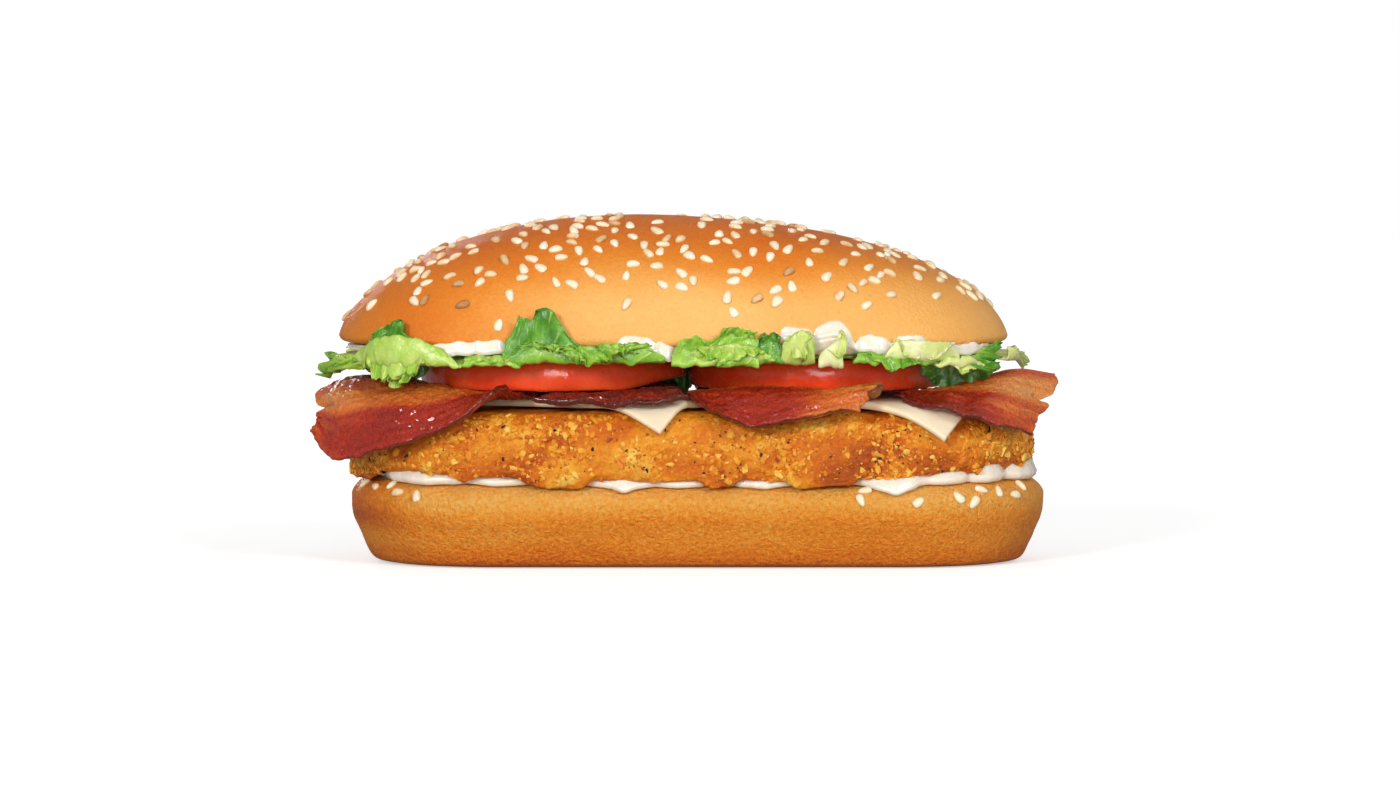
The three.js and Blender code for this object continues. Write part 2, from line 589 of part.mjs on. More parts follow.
// How far the film's edge stands off the crown's outline
function upperReach(q) {
  const drip = dripAt(upperDrips, q.y < 0 ? q.x : -q.x);
  return MAYO.swell * smooth(0.3, 1.6, drip) - MAYO.upperInset;
}
function upperMayoGeometry() {
  const high = CROWN.lip - GAP;
  const steps = [
    { z: 0 }, { off: -2, z: 0 }, { off: 0, z: 0.25 }, { off: 0, z: 0.75 }, { off: -2, z: 1 }, { z: 1 },
  ];
  return ringBody(steps, (t, { off, z }) => {
    const level = mix(MAYO.upperLow, high, z);
    if (off === undefined) return [CROWN.cx, 0, level];
    const q = outline(CROWN, t);
    const out = off + upperReach(q);
    return [q.x + q.nx * out, q.y + q.ny * out, level];
  }, 64);
}

// Lettuce: a thin bed under the crown with torn leaves fused on. A leaf leaves the bed at the crown's
// outline, passes its near row and ends at its far row; each row is three [x, z] points. Then come how
// far the free edge stands off the outline and how much it waves.
const frontLeaves = [
  [[[-79, 51], [-72.5, 50.6], [-66, 50.8]], [[-78.5, 47.5], [-72, 44.6], [-66.5, 46.8]], 2, 0.6],
  [[[13.5, 54], [17.5, 55.5], [21.5, 54]], [[13.8, 56.5], [18, 58], [21.8, 56.4]], 1.4, 0.5],
  [[[-84, 50.2], [-73, 57.2], [-57, 52]], [[-85, 46.6], [-72.6, 46.4], [-57.4, 50]], 3.4, 0.5],
  [[[-88, 51.5], [-84, 51], [-77, 50.6]], [[-92, 52.2], [-88, 47.4], [-77, 45.8]], 4.2, 1],
  [[[-80, 54.6], [-74.5, 55.4], [-68.6, 54.4]], [[-79.4, 55.8], [-73.6, 60.6], [-68.6, 57.2]], 1.6, 0.8],
  [[[-57, 52.2], [-50.5, 52.2], [-43, 51.6]], [[-57.6, 51.2], [-50.5, 50.8], [-42, 50.4]], 2.4, 0.2],
  [[[-47.4, 54.4], [-38, 53.6], [-27, 54.4]], [[-45.4, 61.4], [-38.4, 64.2], [-31, 58.6]], 2.2, 0.8],
  [[[-46.4, 55.4], [-28, 54.4], [-7.8, 55.6]], [[-45.4, 53], [-24, 51.2], [-7.4, 53.4]], 4.6, 0.9],
  [[[-6.4, 53.8], [4.3, 54], [15, 57.6]], [[-6.6, 56.6], [5.2, 58.4], [15.6, 60.2]], 2, 0.7],
  [[[-3, 53], [8, 56], [19, 52.6]], [[-5, 51.6], [8, 51.2], [19.4, 51.8]], 5, 0.5],
  [[[20.4, 55], [24.6, 59.4], [28.6, 57]], [[20.2, 52.8], [25, 52], [29.2, 52.4]], 6, 0.4],
  [[[29.4, 53], [33, 56], [35.4, 60]], [[30.6, 50.6], [35.4, 54], [38.8, 58.4]], 4.6, 0.3],
  [[[45, 56], [54, 56.4], [63, 55.2]], [[44.4, 53.2], [53.6, 51.8], [63, 51.6]], 5, 0.2],
  [[[37.8, 53.4], [47, 52.4], [57, 51.8]], [[37.8, 51.4], [47, 49.2], [55.6, 48.8]], 3.4, 0.4],
  [[[57, 51], [63, 51], [68.5, 50.2]], [[57, 49.2], [63, 48.6], [69.6, 48.2]], 2.8, 0.3],
  [[[69.6, 54.2], [66.4, 52.2], [64.8, 50]], [[73.8, 55.6], [71.4, 51], [68.6, 46.6]], 4.4, 0.6],
  [[[74.2, 53.4], [76, 53], [77.2, 51.6]], [[74.6, 51.4], [78, 48.6], [80.4, 47.4]], 4, 0.4],
];
// The front point of the crown's outline at x, or the end's where x lies beyond it
function frontEdge(x) {
  let [low, high] = [0.5, 1];
  for (let i = 0; i < 24; i++) {
    const half = (low + high) / 2;
    if (outline(CROWN, half).x < x) low = half;
    else high = half;
  }
  return outline(CROWN, low);
}
const offEdge = (q, out, z) => [q.x + q.nx * out, q.y + q.ny * out, z];
// Leaves that hang from the bed in the open places between and beside the tomato slices: a row along X
// at the bed and one at the free edge
const innerLeaves = [
  { y: 26, top: [-14, -5, 4], free: [-15, -5, 5], low: 44, ruffle: 0.4 },
  { y: 2, top: [-82, -77, -72], free: [-87, -79, -71], low: 46.6, ruffle: 0.6 },
  { y: -4, top: [66.5, 69, 71.5], free: [67, 72.5, 79], low: 46.2, ruffle: 0.6 },
];
// The leaves at the ends and the back follow a rule round the crown's outline
const ruledPlaces = [0.01, 0.065, 0.12, 0.165, 0.21, 0.255, 0.3, 0.345, 0.39, 0.435];
function leafRows() {
  const random = randomStream(21);
  const clearOff = (q, out, z) => offEdge(q, Math.max(out, upperReach(q) + clear, clear), z);
  const clear = LETTUCE.leaf / 2 + GAP;
  const front = frontLeaves.map(([near, far, out, ruffle], i) => {
    const outer = (i % 3) * LETTUCE.step;
    return {
      root: near.map(([x]) => offEdge(frontEdge(x), -9, LETTUCE.root)),
      edge: near.map(([x]) => clearOff(frontEdge(x), clear + outer, LETTUCE.root - outer)),
      near: near.map(([x, z]) => clearOff(frontEdge(x), Math.max(clear + outer, 0.6 * out), z)),
      far: far.map(([x, z]) => clearOff(frontEdge(x), out + outer, z)),
      ruffle,
    };
  });
  const ruled = ruledPlaces.map((t, i) => {
    const half = 0.016 + 0.01 * random();
    const climbs = i % 3 === 1;
    const out = climbs ? clear + 1 : 3 + 3 * random();
    const rise = climbs ? 5 + 3 * random() : -2 - 2 * random();
    const row = (off, z) =>
      [-1, 0, 1].map((side) => {
        const q = outline(CROWN, (t + side * half + 1) % 1);
        if (off < 0) return offEdge(q, off, z);
        const curl = Math.abs(side) * (0.4 + random()) * Math.min(1, off - clear);
        return clearOff(q, off, z - Math.sign(rise) * curl);
      });
    const outer = (i % 2) * LETTUCE.step;
    return {
      root: row(-9, LETTUCE.root),
      edge: row(clear + outer, LETTUCE.root - outer),
      near: row(mix(clear, out, 0.5) + outer, LETTUCE.root + 0.45 * rise),
      far: row(out, LETTUCE.root + rise),
      ruffle: 0.3 + 0.4 * random(),
    };
  });
  const inner = innerLeaves.map(({ y, top, free, low, ruffle }) => {
    const row = (xs, from, z) => xs.map((x, i) => [x, y - from * Math.sign(y) + 1.2 * (i % 2), z]);
    const between = top.map((x, i) => mix(x, free[i], 0.4));
    return {
      root: row(top, 4, LETTUCE.root), edge: row(top, 0.4, LETTUCE.root - 0.5),
      near: row(between, 0, mix(LETTUCE.root, low, 0.45)), far: row(free, 0, low), ruffle,
    };
  });
  return [...front, ...ruled, ...inner];
}
// One leaf, cut short at a share of its length where it would meet another piece
function leafSolid({ root, edge, near, far, ruffle }, share) {
  const at = patch([root, edge, near, far]);
  const surface = withNormal((u, v) => {
    const tip = 1 - LETTUCE.tip * Math.abs(2 * u - 1) ** 3;
    const down = v <= 1 / 3 ? v : 1 / 3 + (v - 1 / 3) * share * tip;
    const point = at(u, down);
    point.z += ruffle * Math.sin(11 * u) * smooth(0.4, 1, down);
    return point;
  });
  return solidOf(sheetBody(4, 3, surface, LETTUCE.leaf));
}
function fittedLeaf(rows, neighbours) {
  for (const share of [1, 0.8, 0.6, 0.4]) {
    const leaf = leafSolid(rows, share);
    if (leaf.intersect(neighbours).isEmpty()) return [leaf];
  }
  return [];
}
function lettuceBed() {
  const edge = inset(CROWN, 6.5);
  const shares = [0, 0.6, 1];
  const steps = [...shares.map((k) => ({ k, z: 0 })), ...shares.reverse().map((k) => ({ k, z: 1 }))];
  return ringBody(steps, (t, { k, z }) => {
    const q = outline(edge, t);
    const uneven = k === 1 ? 1.4 * lumps(q.x, q.y, 0, 3) : 0;
    const x = CROWN.cx + (q.x - CROWN.cx) * k;
    return [x + q.nx * uneven, q.y * k + q.ny * uneven, mix(LETTUCE.low, LETTUCE.high, z)];
  }, 40);
}

// Assembly
const bread = [0.83, 0.5, 0.2];
const colours = {
  bun: bread, chicken: [0.78, 0.45, 0.1], cheese: [0.97, 0.9, 0.75], bacon: [0.6, 0.16, 0.08],
  tomato: [0.85, 0.13, 0.06], lettuce: [0.45, 0.68, 0.2], mayo: [0.97, 0.93, 0.88],
};
const roughness = {
  bun: 0.55, chicken: 0.6, cheese: 0.4, bacon: 0.35, tomato: 0.25, lettuce: 0.4, mayo: 0.3,
};
const burger = new THREE.Group();
function add(name, kind, geometry) {
  const colour = new THREE.Color(...colours[kind]);
  const material = new THREE.MeshStandardMaterial({ color: colour, roughness: roughness[kind] });
  const mesh = new THREE.Mesh(geometry, material);
  mesh.name = name;
  burger.add(mesh);
}

const cheeseSolids = Object.fromEntries(
  Object.entries(cheeseSlices).map(([name, slice]) => [name, solidOf(cheeseGeometry(slice))]),
);
const room = {
  crown: solidOf(crownGeometry(GAP)),
  chicken: solidOf(chickenGeometry(GAP * 0.8)),
  tomatoes: Object.values(tomatoSlices).map((slice) => solidOf(tomatoGeometry(slice, GAP))),
  cheese: Object.values(cheeseSlices).map((slice) => solidOf(cheeseGeometry(slice, GAP))),
};
cheeseSolids.cheese_right = cheeseSolids.cheese_right.subtract(room.cheese[0]);
for (const [name, solid] of Object.entries(cheeseSolids)) {
  cheeseSolids[name] = tidied(largest(solid.subtract(room.chicken)));
}

add("bun_bottom", "bun", geometryOf(seededHeel(solidOf(lowerMayoGeometry()))));
add("mayo_lower", "mayo", lowerMayoGeometry());
add("chicken", "chicken", chickenGeometry());
for (const [name, solid] of Object.entries(cheeseSolids)) add(name, "cheese", geometryOf(solid));

const baconSolids = {};
for (const [name, strip] of Object.entries(baconStrips)) {
  const around = wasm.Manifold.union([room.chicken, ...room.cheese, ...room.tomatoes]);
  const whole = solidOf(baconGeometry(strip));
  baconSolids[name] = tidied(largest(whole.subtract(around)));
  add(name, "bacon", geometryOf(baconSolids[name]));
}
for (const [name, slice] of Object.entries(tomatoSlices)) add(name, "tomato", tomatoGeometry(slice));

const bacon = Object.values(baconSolids);
const upperMayo = solidOf(upperMayoGeometry());
const neighbours = wasm.Manifold.union([room.crown, room.chicken, ...room.tomatoes, upperMayo, ...bacon]);
const leaves = leafRows().flatMap((rows) => fittedLeaf(rows, neighbours));
const lettuce = tidied(largest(wasm.Manifold.union([solidOf(lettuceBed()), ...leaves])));
add("lettuce", "lettuce", geometryOf(lettuce));
add("mayo_upper", "mayo", geometryOf(upperMayo));
add("bun_top", "bun", geometryOf(seededCrown()));

// The origin is the middle of the object's box, at its base
const box = new THREE.Box3().setFromObject(burger);
const middle = box.getCenter(new THREE.Vector3());
burger.position.set(-middle.x, -middle.y, -box.min.z);

export default burger;
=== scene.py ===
# A long chicken and bacon sandwich in a sesame bun: its finished surfaces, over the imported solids.
# Shapes are worked out in millimetres along the axes of the part's own source, from the same named
# sizes, and go to the frame's metres when a mesh is made.
import math
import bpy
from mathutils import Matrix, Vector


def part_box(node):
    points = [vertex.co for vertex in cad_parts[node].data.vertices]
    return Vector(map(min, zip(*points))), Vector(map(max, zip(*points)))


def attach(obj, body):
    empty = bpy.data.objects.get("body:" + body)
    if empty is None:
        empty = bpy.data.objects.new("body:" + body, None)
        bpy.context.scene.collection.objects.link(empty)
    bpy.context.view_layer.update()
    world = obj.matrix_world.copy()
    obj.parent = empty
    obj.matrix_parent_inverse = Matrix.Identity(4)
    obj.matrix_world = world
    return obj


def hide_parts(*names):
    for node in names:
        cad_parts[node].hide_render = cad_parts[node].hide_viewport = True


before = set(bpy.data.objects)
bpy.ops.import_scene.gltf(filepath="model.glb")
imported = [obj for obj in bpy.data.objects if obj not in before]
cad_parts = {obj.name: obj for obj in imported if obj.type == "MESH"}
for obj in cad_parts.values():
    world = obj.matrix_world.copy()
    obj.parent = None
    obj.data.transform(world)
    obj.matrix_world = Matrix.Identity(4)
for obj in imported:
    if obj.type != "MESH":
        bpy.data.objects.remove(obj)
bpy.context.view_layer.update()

from types import SimpleNamespace as Form

import bpy
import numpy as np
from mathutils import Vector

MM = 0.001

# Driving dimensions
GAP = 0.35
HEEL = Form(cx=0, a=86.4, b=40.5, corner=37, shoulder=6, drop=5, top=20, rise=1.1)
CROWN = Form(cx=-6, a=83.8, b=41, corner=39, lip=54.4, base=52.6, top=86.1, lean=7)
CHICKEN = Form(cx=-1.4, a=85.4, b=41, corner=36, round=7, round_low=3.4, sag=2.1, top=38.6, end_drop=2.2)
CHEESE = Form(side=62, thick=1.9, spring=0.7, bend=math.radians(60))
TOMATO = Form(thick=7.7, edge=2.6, bottom=43.2)
BACON = Form(thick=1.4, flat=42.14)
LETTUCE = Form(low=51.3, high=52.2, leaf=0.85, root=51.75, step=0.7, tip=0.4)
MAYO = Form(thick=1, bulge=0.3, lower_inset=1.8, upper_low=52.6, swell=4.4, upper_inset=3.4)
SEED = Form(long=1.7, wide=1.1, high=0.75, sunk=0.1, crown=216)
TOMATO_LEFT = Form(x=-35.8, y=-1.5, radius=33.1, lift=2.6)
TOMATO_RIGHT = Form(x=29.6, y=1, radius=32.2, lift=0)

# The frame's origin is the middle of the object's box, so its axes lie a few millimetres off the source's
low_corner, high_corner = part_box("tomato_left")
SHIFT = np.array([
    (low_corner.x + high_corner.x) / 2 / MM - TOMATO_LEFT.x,
    (low_corner.y + high_corner.y) / 2 / MM - TOMATO_LEFT.y,
    0,
])


# Points round each body
AROUND = Form(crown=440, heel=560, chicken=900, tomato=200, lower=640, upper=720, bed=300, seed=12, floor=96)


# Small helpers
def smooth(start, end, v):
    s = np.clip((v - start) / (end - start), 0, 1)
    return s * s * (3 - 2 * s)


def mix(p, q, s):
    return p + (q - p) * s


def bell(x, centre, width):
    return np.exp(-(((x - centre) / width) ** 2))


def unit(v):
    return v / np.maximum(np.linalg.norm(v, axis=-1, keepdims=True), 1e-9)


def stack(x, y, z):
    return np.stack(np.broadcast_arrays(x, y, z), axis=-1).astype(float)


def way_round(count):
    """Evenly spaced shares of the way round."""
    return np.arange(count) / count


def angles(start, end, count):
    return np.radians(np.linspace(start, end, count))


LOW_BITS = 0xFFFFFFFF


def random_stream(seed):
    """The same stream of random numbers as the part's source draws for its seeds and leaves."""
    state = seed

    def draw():
        nonlocal state
        state = (state + 0x6D2B79F5) & LOW_BITS
        r = ((state ^ (state >> 15)) * (1 | state)) & LOW_BITS
        r = ((r + (((r ^ (r >> 7)) * (61 | r)) & LOW_BITS)) & LOW_BITS) ^ r
        return ((r ^ (r >> 14)) & LOW_BITS) / (LOW_BITS + 1)

    return draw


def hashed(cell, salt):
    """A scrambled whole number for each whole-number point."""
    spread = cell * np.array([374761393, 668265263, 1274126177])
    h = (spread.sum(axis=-1) + salt * 974711) & LOW_BITS
    h = ((h ^ (h >> 13)) * 1103515245) & LOW_BITS
    h = ((h ^ (h >> 16)) * 374761393) & LOW_BITS
    return h ^ (h >> 15)


def thirds(h):
    """Three numbers from 0 to 1 out of one hashed number."""
    return np.stack([h & 1023, (h >> 10) & 1023, (h >> 20) & 1023], axis=-1) / 1023


CORNERS = [(i, j, k) for i in (0, 1) for j in (0, 1) for k in (0, 1)]
AROUND_CELL = [(i, j, k) for i in (-1, 0, 1) for j in (-1, 0, 1) for k in (-1, 0, 1)]


def noise(points, size, salt=0):
    """Smooth noise from about -1 to 1 with features of a size, or of three sizes along the axes."""
    q = points / np.asarray(size, float)
    cell = np.floor(q).astype(np.int64)
    part = q - cell
    ease = part**3 * (part * (part * 6 - 15) + 10)
    total = np.zeros(points.shape[:-1])
    for corner in CORNERS:
        slope = thirds(hashed(cell + corner, salt)) * 2 - 1
        share = np.prod(np.where(corner, ease, 1 - ease), axis=-1)
        total += share * np.sum(slope * (part - corner), axis=-1)
    return total * 1.7


def line_noise(way, lane, level, size, salt):
    """Noise along a line that has a lane and a level of its own."""
    return noise(stack(way, lane, level), size, salt)


def pebbles(points, size, salt=0):
    """Distance to the nearest of scattered centres, in cell sizes, and a random number of that centre."""
    q = points / np.asarray(size, float)
    cell = np.floor(q).astype(np.int64)
    nearest = np.full(points.shape[:-1], 9.0)
    drawn = np.zeros(points.shape[:-1])
    for step in AROUND_CELL:
        h = hashed(cell + step, salt)
        away = np.linalg.norm(cell + step + thirds(h) - q, axis=-1)
        closer = away < nearest
        nearest = np.where(closer, away, nearest)
        drawn = np.where(closer, (h >> 5 & 1023) / 1023, drawn)
    return nearest, drawn


def spline(points, share):
    """Points at shares 0 to 1 of a smooth curve through control points, or of one curve for each share."""
    spans = len(points) - 1
    p = np.clip(share, 0, 1) * spans
    i = np.minimum(np.floor(p).astype(int), spans - 1)
    w = (p - i)[..., None]
    padded = np.concatenate([2 * points[:1] - points[1:2], points, 2 * points[-1:] - points[-2:-1]])
    own = () if points.ndim == 2 else (np.arange(points.shape[1]),)
    p0, p1, p2, p3 = [padded[(i + step, *own)] for step in range(4)]
    t0, t1 = 0.5 * (p2 - p0), 0.5 * (p3 - p1)
    return p1 + w * (t0 + w * (3 * (p2 - p1) - 2 * t0 - t1 + w * (2 * (p1 - p2) + t0 + t1)))


def patch(rows, u, v):
    """Points of a smooth patch through rows of control points, each row running along u."""
    curves = np.stack([spline(np.array(row, float), u.ravel()) for row in rows])
    return spline(curves, v.ravel()).reshape(*u.shape, 3)


# Plan outlines: rounded rectangles
def outline(plan, t):
    """Points and outward normals at shares t of the way round from +X."""
    sx, sy = plan.a - plan.corner, plan.b - plan.corner
    arc = math.pi / 2 * plan.corner
    runs = np.array([
        [sy, plan.a, 0, 0, 1, 0], [arc, sx, sy, 0, 0, 1], [2 * sx, sx, plan.b, -1, 0, 0],
        [arc, -sx, sy, 0, 0, 2], [2 * sy, -plan.a, sy, 0, -1, 0], [arc, -sx, -sy, 0, 0, 3],
        [2 * sx, -sx, -plan.b, 1, 0, 0], [arc, sx, -sy, 0, 0, 4], [sy, plan.a, -sy, 0, 1, 0],
    ])
    ends = np.cumsum(runs[:, 0])
    way = np.mod(t, 1) * ends[-1]
    run = np.minimum(np.searchsorted(ends, way), len(runs) - 1)
    length, x, y, dx, dy, quarter = np.moveaxis(runs[run], -1, 0)
    left = way - (ends[run] - length)
    curved = quarter > 0
    angle = (quarter - 1) * math.pi / 2 + left / plan.corner
    nx = np.where(curved, np.cos(angle), dy)
    ny = np.where(curved, np.sin(angle), -dx)
    x = plan.cx + x + np.where(curved, plan.corner * nx, dx * left)
    y = y + np.where(curved, plan.corner * ny, dy * left)
    return np.stack([x, y], axis=-1), np.stack([nx, ny], axis=-1)


def inset(plan, by):
    return Form(**{**vars(plan), "a": plan.a - by, "b": plan.b - by, "corner": plan.corner - by})


def offset(q, n, off, z):
    """Points of an outline moved out along its normals, at a height."""
    return stack(q[..., 0] + n[..., 0] * off, q[..., 1] + n[..., 1] * off, z)


def scaled(q, k, z, centre=0):
    """Points of an outline drawn in to a share of its size, at a height."""
    return stack(centre + (q[..., 0] - centre) * k, q[..., 1] * k, z)


def distance_to(plan, x, y):
    """Signed distance to the outline, negative inside, with the outward normal."""
    qx = np.abs(x - plan.cx) - (plan.a - plan.corner)
    qy = np.abs(y) - (plan.b - plan.corner)
    ox, oy = np.maximum(qx, 0), np.maximum(qy, 0)
    outside = np.hypot(ox, oy)
    sx, sy = np.where(x < plan.cx, -1, 1), np.where(y < 0, -1, 1)
    beyond = outside > 0
    wide = np.maximum(outside, 1e-9)
    nx = np.where(beyond, sx * ox / wide, np.where(qx > qy, sx, 0))
    ny = np.where(beyond, sy * oy / wide, np.where(qx > qy, 0, sy))
    return np.where(beyond, outside, np.maximum(qx, qy)) - plan.corner, nx, ny


# Meshes
def placed(name, data):
    """A new object of the scene."""
    made = bpy.data.objects.new(name, data)
    bpy.context.scene.collection.objects.link(made)
    return made


def piece(name, points, faces, finish, nodes, values):
    """A closed smooth mesh that rides on the root, stands for the nodes and keeps values at its points."""
    points = points.reshape(-1, 3)
    corners = np.concatenate([points[face[:, [0, 1, 2]]] for face in faces])
    if np.sum(corners[:, 0] * np.cross(corners[:, 1], corners[:, 2])) < 0:
        faces = [face[:, ::-1] for face in faces]
    mesh = bpy.data.meshes.new(name)
    rows = [row for face in faces for row in face.tolist()]
    mesh.from_pydata(((points + SHIFT) * MM).tolist(), [], rows)
    mesh.shade_smooth()
    for label, value in values.items():
        kept = mesh.attributes.new(label, "FLOAT", "POINT")
        kept.data.foreach_set("value", np.asarray(value, np.float32).ravel())
    mesh.materials.append(finish)
    made = placed(name, mesh)
    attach(made, "root")
    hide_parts(*nodes)
    return made


def ring_faces(rings, around):
    """Faces between rings that follow each other, and fans to a last point at either end."""
    i, j = np.meshgrid(np.arange(rings - 1), np.arange(around), indexing="ij")
    here, ahead = i * around + j, i * around + (j + 1) % around
    quads = np.stack([here, ahead, ahead + around, here + around], axis=-1).reshape(-1, 4)
    edge = np.arange(around)
    first, last = rings * around, rings * around + 1
    top = (rings - 1) * around
    fans = [
        np.stack([(edge + 1) % around, edge, np.full(around, first)], axis=-1),
        np.stack([top + edge, top + (edge + 1) % around, np.full(around, last)], axis=-1),
    ]
    return [quads, *fans]


def ring_piece(name, rings, finish, nodes, slot, **values):
    """A closed body of rings, each an array of points round it."""
    poles = np.stack([rings[0].mean(axis=0), rings[-1].mean(axis=0)])
    points = np.concatenate([rings.reshape(-1, 3), poles])
    ends = {label: [value[0].mean(), value[-1].mean()] for label, value in values.items()}
    values = {label: np.concatenate([value.ravel(), ends[label]]) for label, value in values.items()}
    return piece(name, points, ring_faces(*rings.shape[:2]), finish, nodes, values)


def sheet_steps(length, count, edge):
    """Places along a sheet, closer together in the rounded edge at either end, as shares of its length."""
    near = np.array([0, 0.12, 0.4, 0.75]) * edge
    inner = np.linspace(edge * 1.2, length - edge * 1.2, count)
    return np.concatenate([near, inner, length - near[::-1]]) / length


def grid_normals(points):
    along = np.gradient(points, axis=1)
    down = np.gradient(points, axis=0)
    return unit(np.cross(along, down))


def sheet_mesh(points, lower, upper):
    """Both faces of a sheet that share their border: points, faces, and which grid place each point has."""
    down, along = points.shape[:2]
    normals = grid_normals(points)
    top = np.arange(down * along).reshape(down, along)
    under = top.copy()
    under[1:-1, 1:-1] = down * along + np.arange((down - 2) * (along - 2)).reshape(down - 2, along - 2)
    above = points + normals * upper[..., None]
    below = (points + normals * lower[..., None])[1:-1, 1:-1]
    place = np.concatenate([top.ravel(), top[1:-1, 1:-1].ravel()])
    faces = []
    for side in (top, under[:, ::-1]):
        corners = [side[:-1, :-1], side[:-1, 1:], side[1:, 1:], side[1:, :-1]]
        faces.append(np.stack(corners, axis=-1).reshape(-1, 4))
    points = np.concatenate([above.reshape(-1, 3), below.reshape(-1, 3)])
    return points, np.concatenate(faces), place


def mean_run(rows, axis):
    """The mean length of rows of points along one axis of the table."""
    return np.linalg.norm(np.diff(rows, axis=axis), axis=-1).sum(axis=axis).mean()


def rounded(us, vs, width, length, edge):
    """Share of the full thickness over a grid, falling in a quarter circle at its border."""
    u, v = np.meshgrid(us * width, vs * length)
    away = np.minimum(np.minimum(u, width - u), np.minimum(v, length - v))
    return np.sqrt(np.clip(1 - (1 - np.clip(away / edge, 0, 1)) ** 2, 0, 1))


def joined(meshes):
    """Several meshes as one: points, faces and values, each mesh being (points, faces, values)."""
    faces, start = [], 0
    for points, face, _ in meshes:
        faces.append(face + start)
        start += len(points)
    values = {label: np.concatenate([mesh[2][label] for mesh in meshes]) for label in meshes[0][2]}
    return np.concatenate([mesh[0] for mesh in meshes]), [np.concatenate(faces)], values


def repeated(faces, count, points):
    """The faces of a shape with so many points, for a number of such shapes that follow each other."""
    return (faces[None] + (np.arange(count) * points)[:, None, None]).reshape(-1, faces.shape[-1])


def turned(normal, turn):
    """Frames that lie flat on normals and are turned about them: long, side and normal as columns."""
    c, s = np.cos(turn), np.sin(turn)
    up = np.array([0.0, 0, 1])
    axis = np.cross(up, normal)
    grow = 1 / (1 + np.maximum(normal[:, 2], -0.999))
    frames = []
    for column in (stack(c, s, 0), stack(-s, c, 0), np.broadcast_to(up, normal.shape)):
        once = np.cross(axis, column)
        frames.append(column + once + np.cross(axis, once) * grow[:, None])
    return np.stack(frames, axis=-1)


# Finishes
def colour(red, green, blue):
    """A colour as it looks on screen, as the linear values that a shader takes."""
    linear = [c / 12.92 if c <= 0.04045 else ((c + 0.055) / 1.055) ** 2.4 for c in (red, green, blue)]
    return (*linear, 1)


class Finish:
    """A material, with short calls for the nodes that it is made of."""

    def __init__(self, name, **settings):
        self.material = bpy.data.materials.new(name)
        self.material.use_nodes = True
        self.tree = self.material.node_tree
        self.shader = self.tree.nodes["Principled BSDF"]
        self.place = self.add("TexCoord").outputs["Object"]
        for label, value in settings.items():
            self.shader.inputs[label.replace("_", " ").title().replace("Ior", "IOR")].default_value = value

    def feed(self, socket, value):
        """Links what another node gives, or sets a plain value."""
        if isinstance(value, bpy.types.NodeSocket):
            self.tree.links.new(value, socket)
        else:
            socket.default_value = value

    def add(self, kind, inputs=None, **settings):
        node = self.tree.nodes.new("ShaderNode" + kind)
        for label, value in settings.items():
            setattr(node, label, value)
        for label, value in (inputs or {}).items():
            self.feed(node.inputs[label], value)
        return node

    def value(self, label):
        return self.add("Attribute", attribute_name=label).outputs["Fac"]

    def noise(self, size, detail=3, rough=0.55):
        """Noise with features of about a size in millimetres."""
        inputs = {"Vector": self.place, "Scale": 1 / (size * MM), "Detail": detail, "Roughness": rough}
        return self.add("TexNoise", inputs).outputs["Fac"]

    def cells(self, size):
        """Distance to the nearest of scattered centres, about a size in millimetres apart."""
        inputs = {"Vector": self.place, "Scale": 1 / (size * MM)}
        return self.add("TexVoronoi", inputs).outputs["Distance"]

    def times(self, value, factor):
        return self.add("Math", {0: value, 1: factor}, operation="MULTIPLY").outputs[0]

    def sum(self, base, part, factor):
        """A value shifted by so much of another, which has its middle at a half."""
        shifted = self.add("Math", {0: part, 1: 0.5}, operation="SUBTRACT").outputs[0]
        return self.add("Math", {0: shifted, 1: factor, 2: base}, operation="MULTIPLY_ADD").outputs[0]

    def span(self, value, start, end, low=0.0, high=1.0):
        inputs = {"Value": value, "From Min": start, "From Max": end, "To Min": low, "To Max": high}
        return self.add("MapRange", inputs, interpolation_type="SMOOTHSTEP").outputs[0]

    def patchy(self, size, low, high, detail=3, spread=0.2):
        """A value that wanders between two in patches of about a size in millimetres."""
        return self.span(self.noise(size, detail), 0.5 - spread, 0.5 + spread, low, high)

    def ramp(self, value, *stops):
        node = self.add("ValToRGB", {"Fac": value})
        ramp = node.color_ramp
        while len(ramp.elements) < len(stops):
            ramp.elements.new(0.5)
        for element, (at, shade) in zip(ramp.elements, stops):
            element.position = at
            element.color = colour(*shade)
        return node.outputs["Color"]

    def blend(self, share, first, second):
        node = self.add("Mix", data_type="RGBA")
        for socket, value in ((0, share), (6, first), (7, second)):
            self.feed(node.inputs[socket], value)
        return node.outputs[2]

    def finish(self, base, rough, *bumps):
        """Links the colour, the roughness and the bumps, each a height and its depth in millimetres."""
        self.feed(self.shader.inputs["Base Color"], base)
        self.feed(self.shader.inputs["Roughness"], rough)
        below = {}
        for height, depth in bumps:
            inputs = {"Height": height, "Distance": depth * MM, "Strength": 1.0, **below}
            below = {"Normal": self.add("Bump", inputs).outputs[0]}
        self.feed(self.shader.inputs["Normal"], below["Normal"])
        return self.material


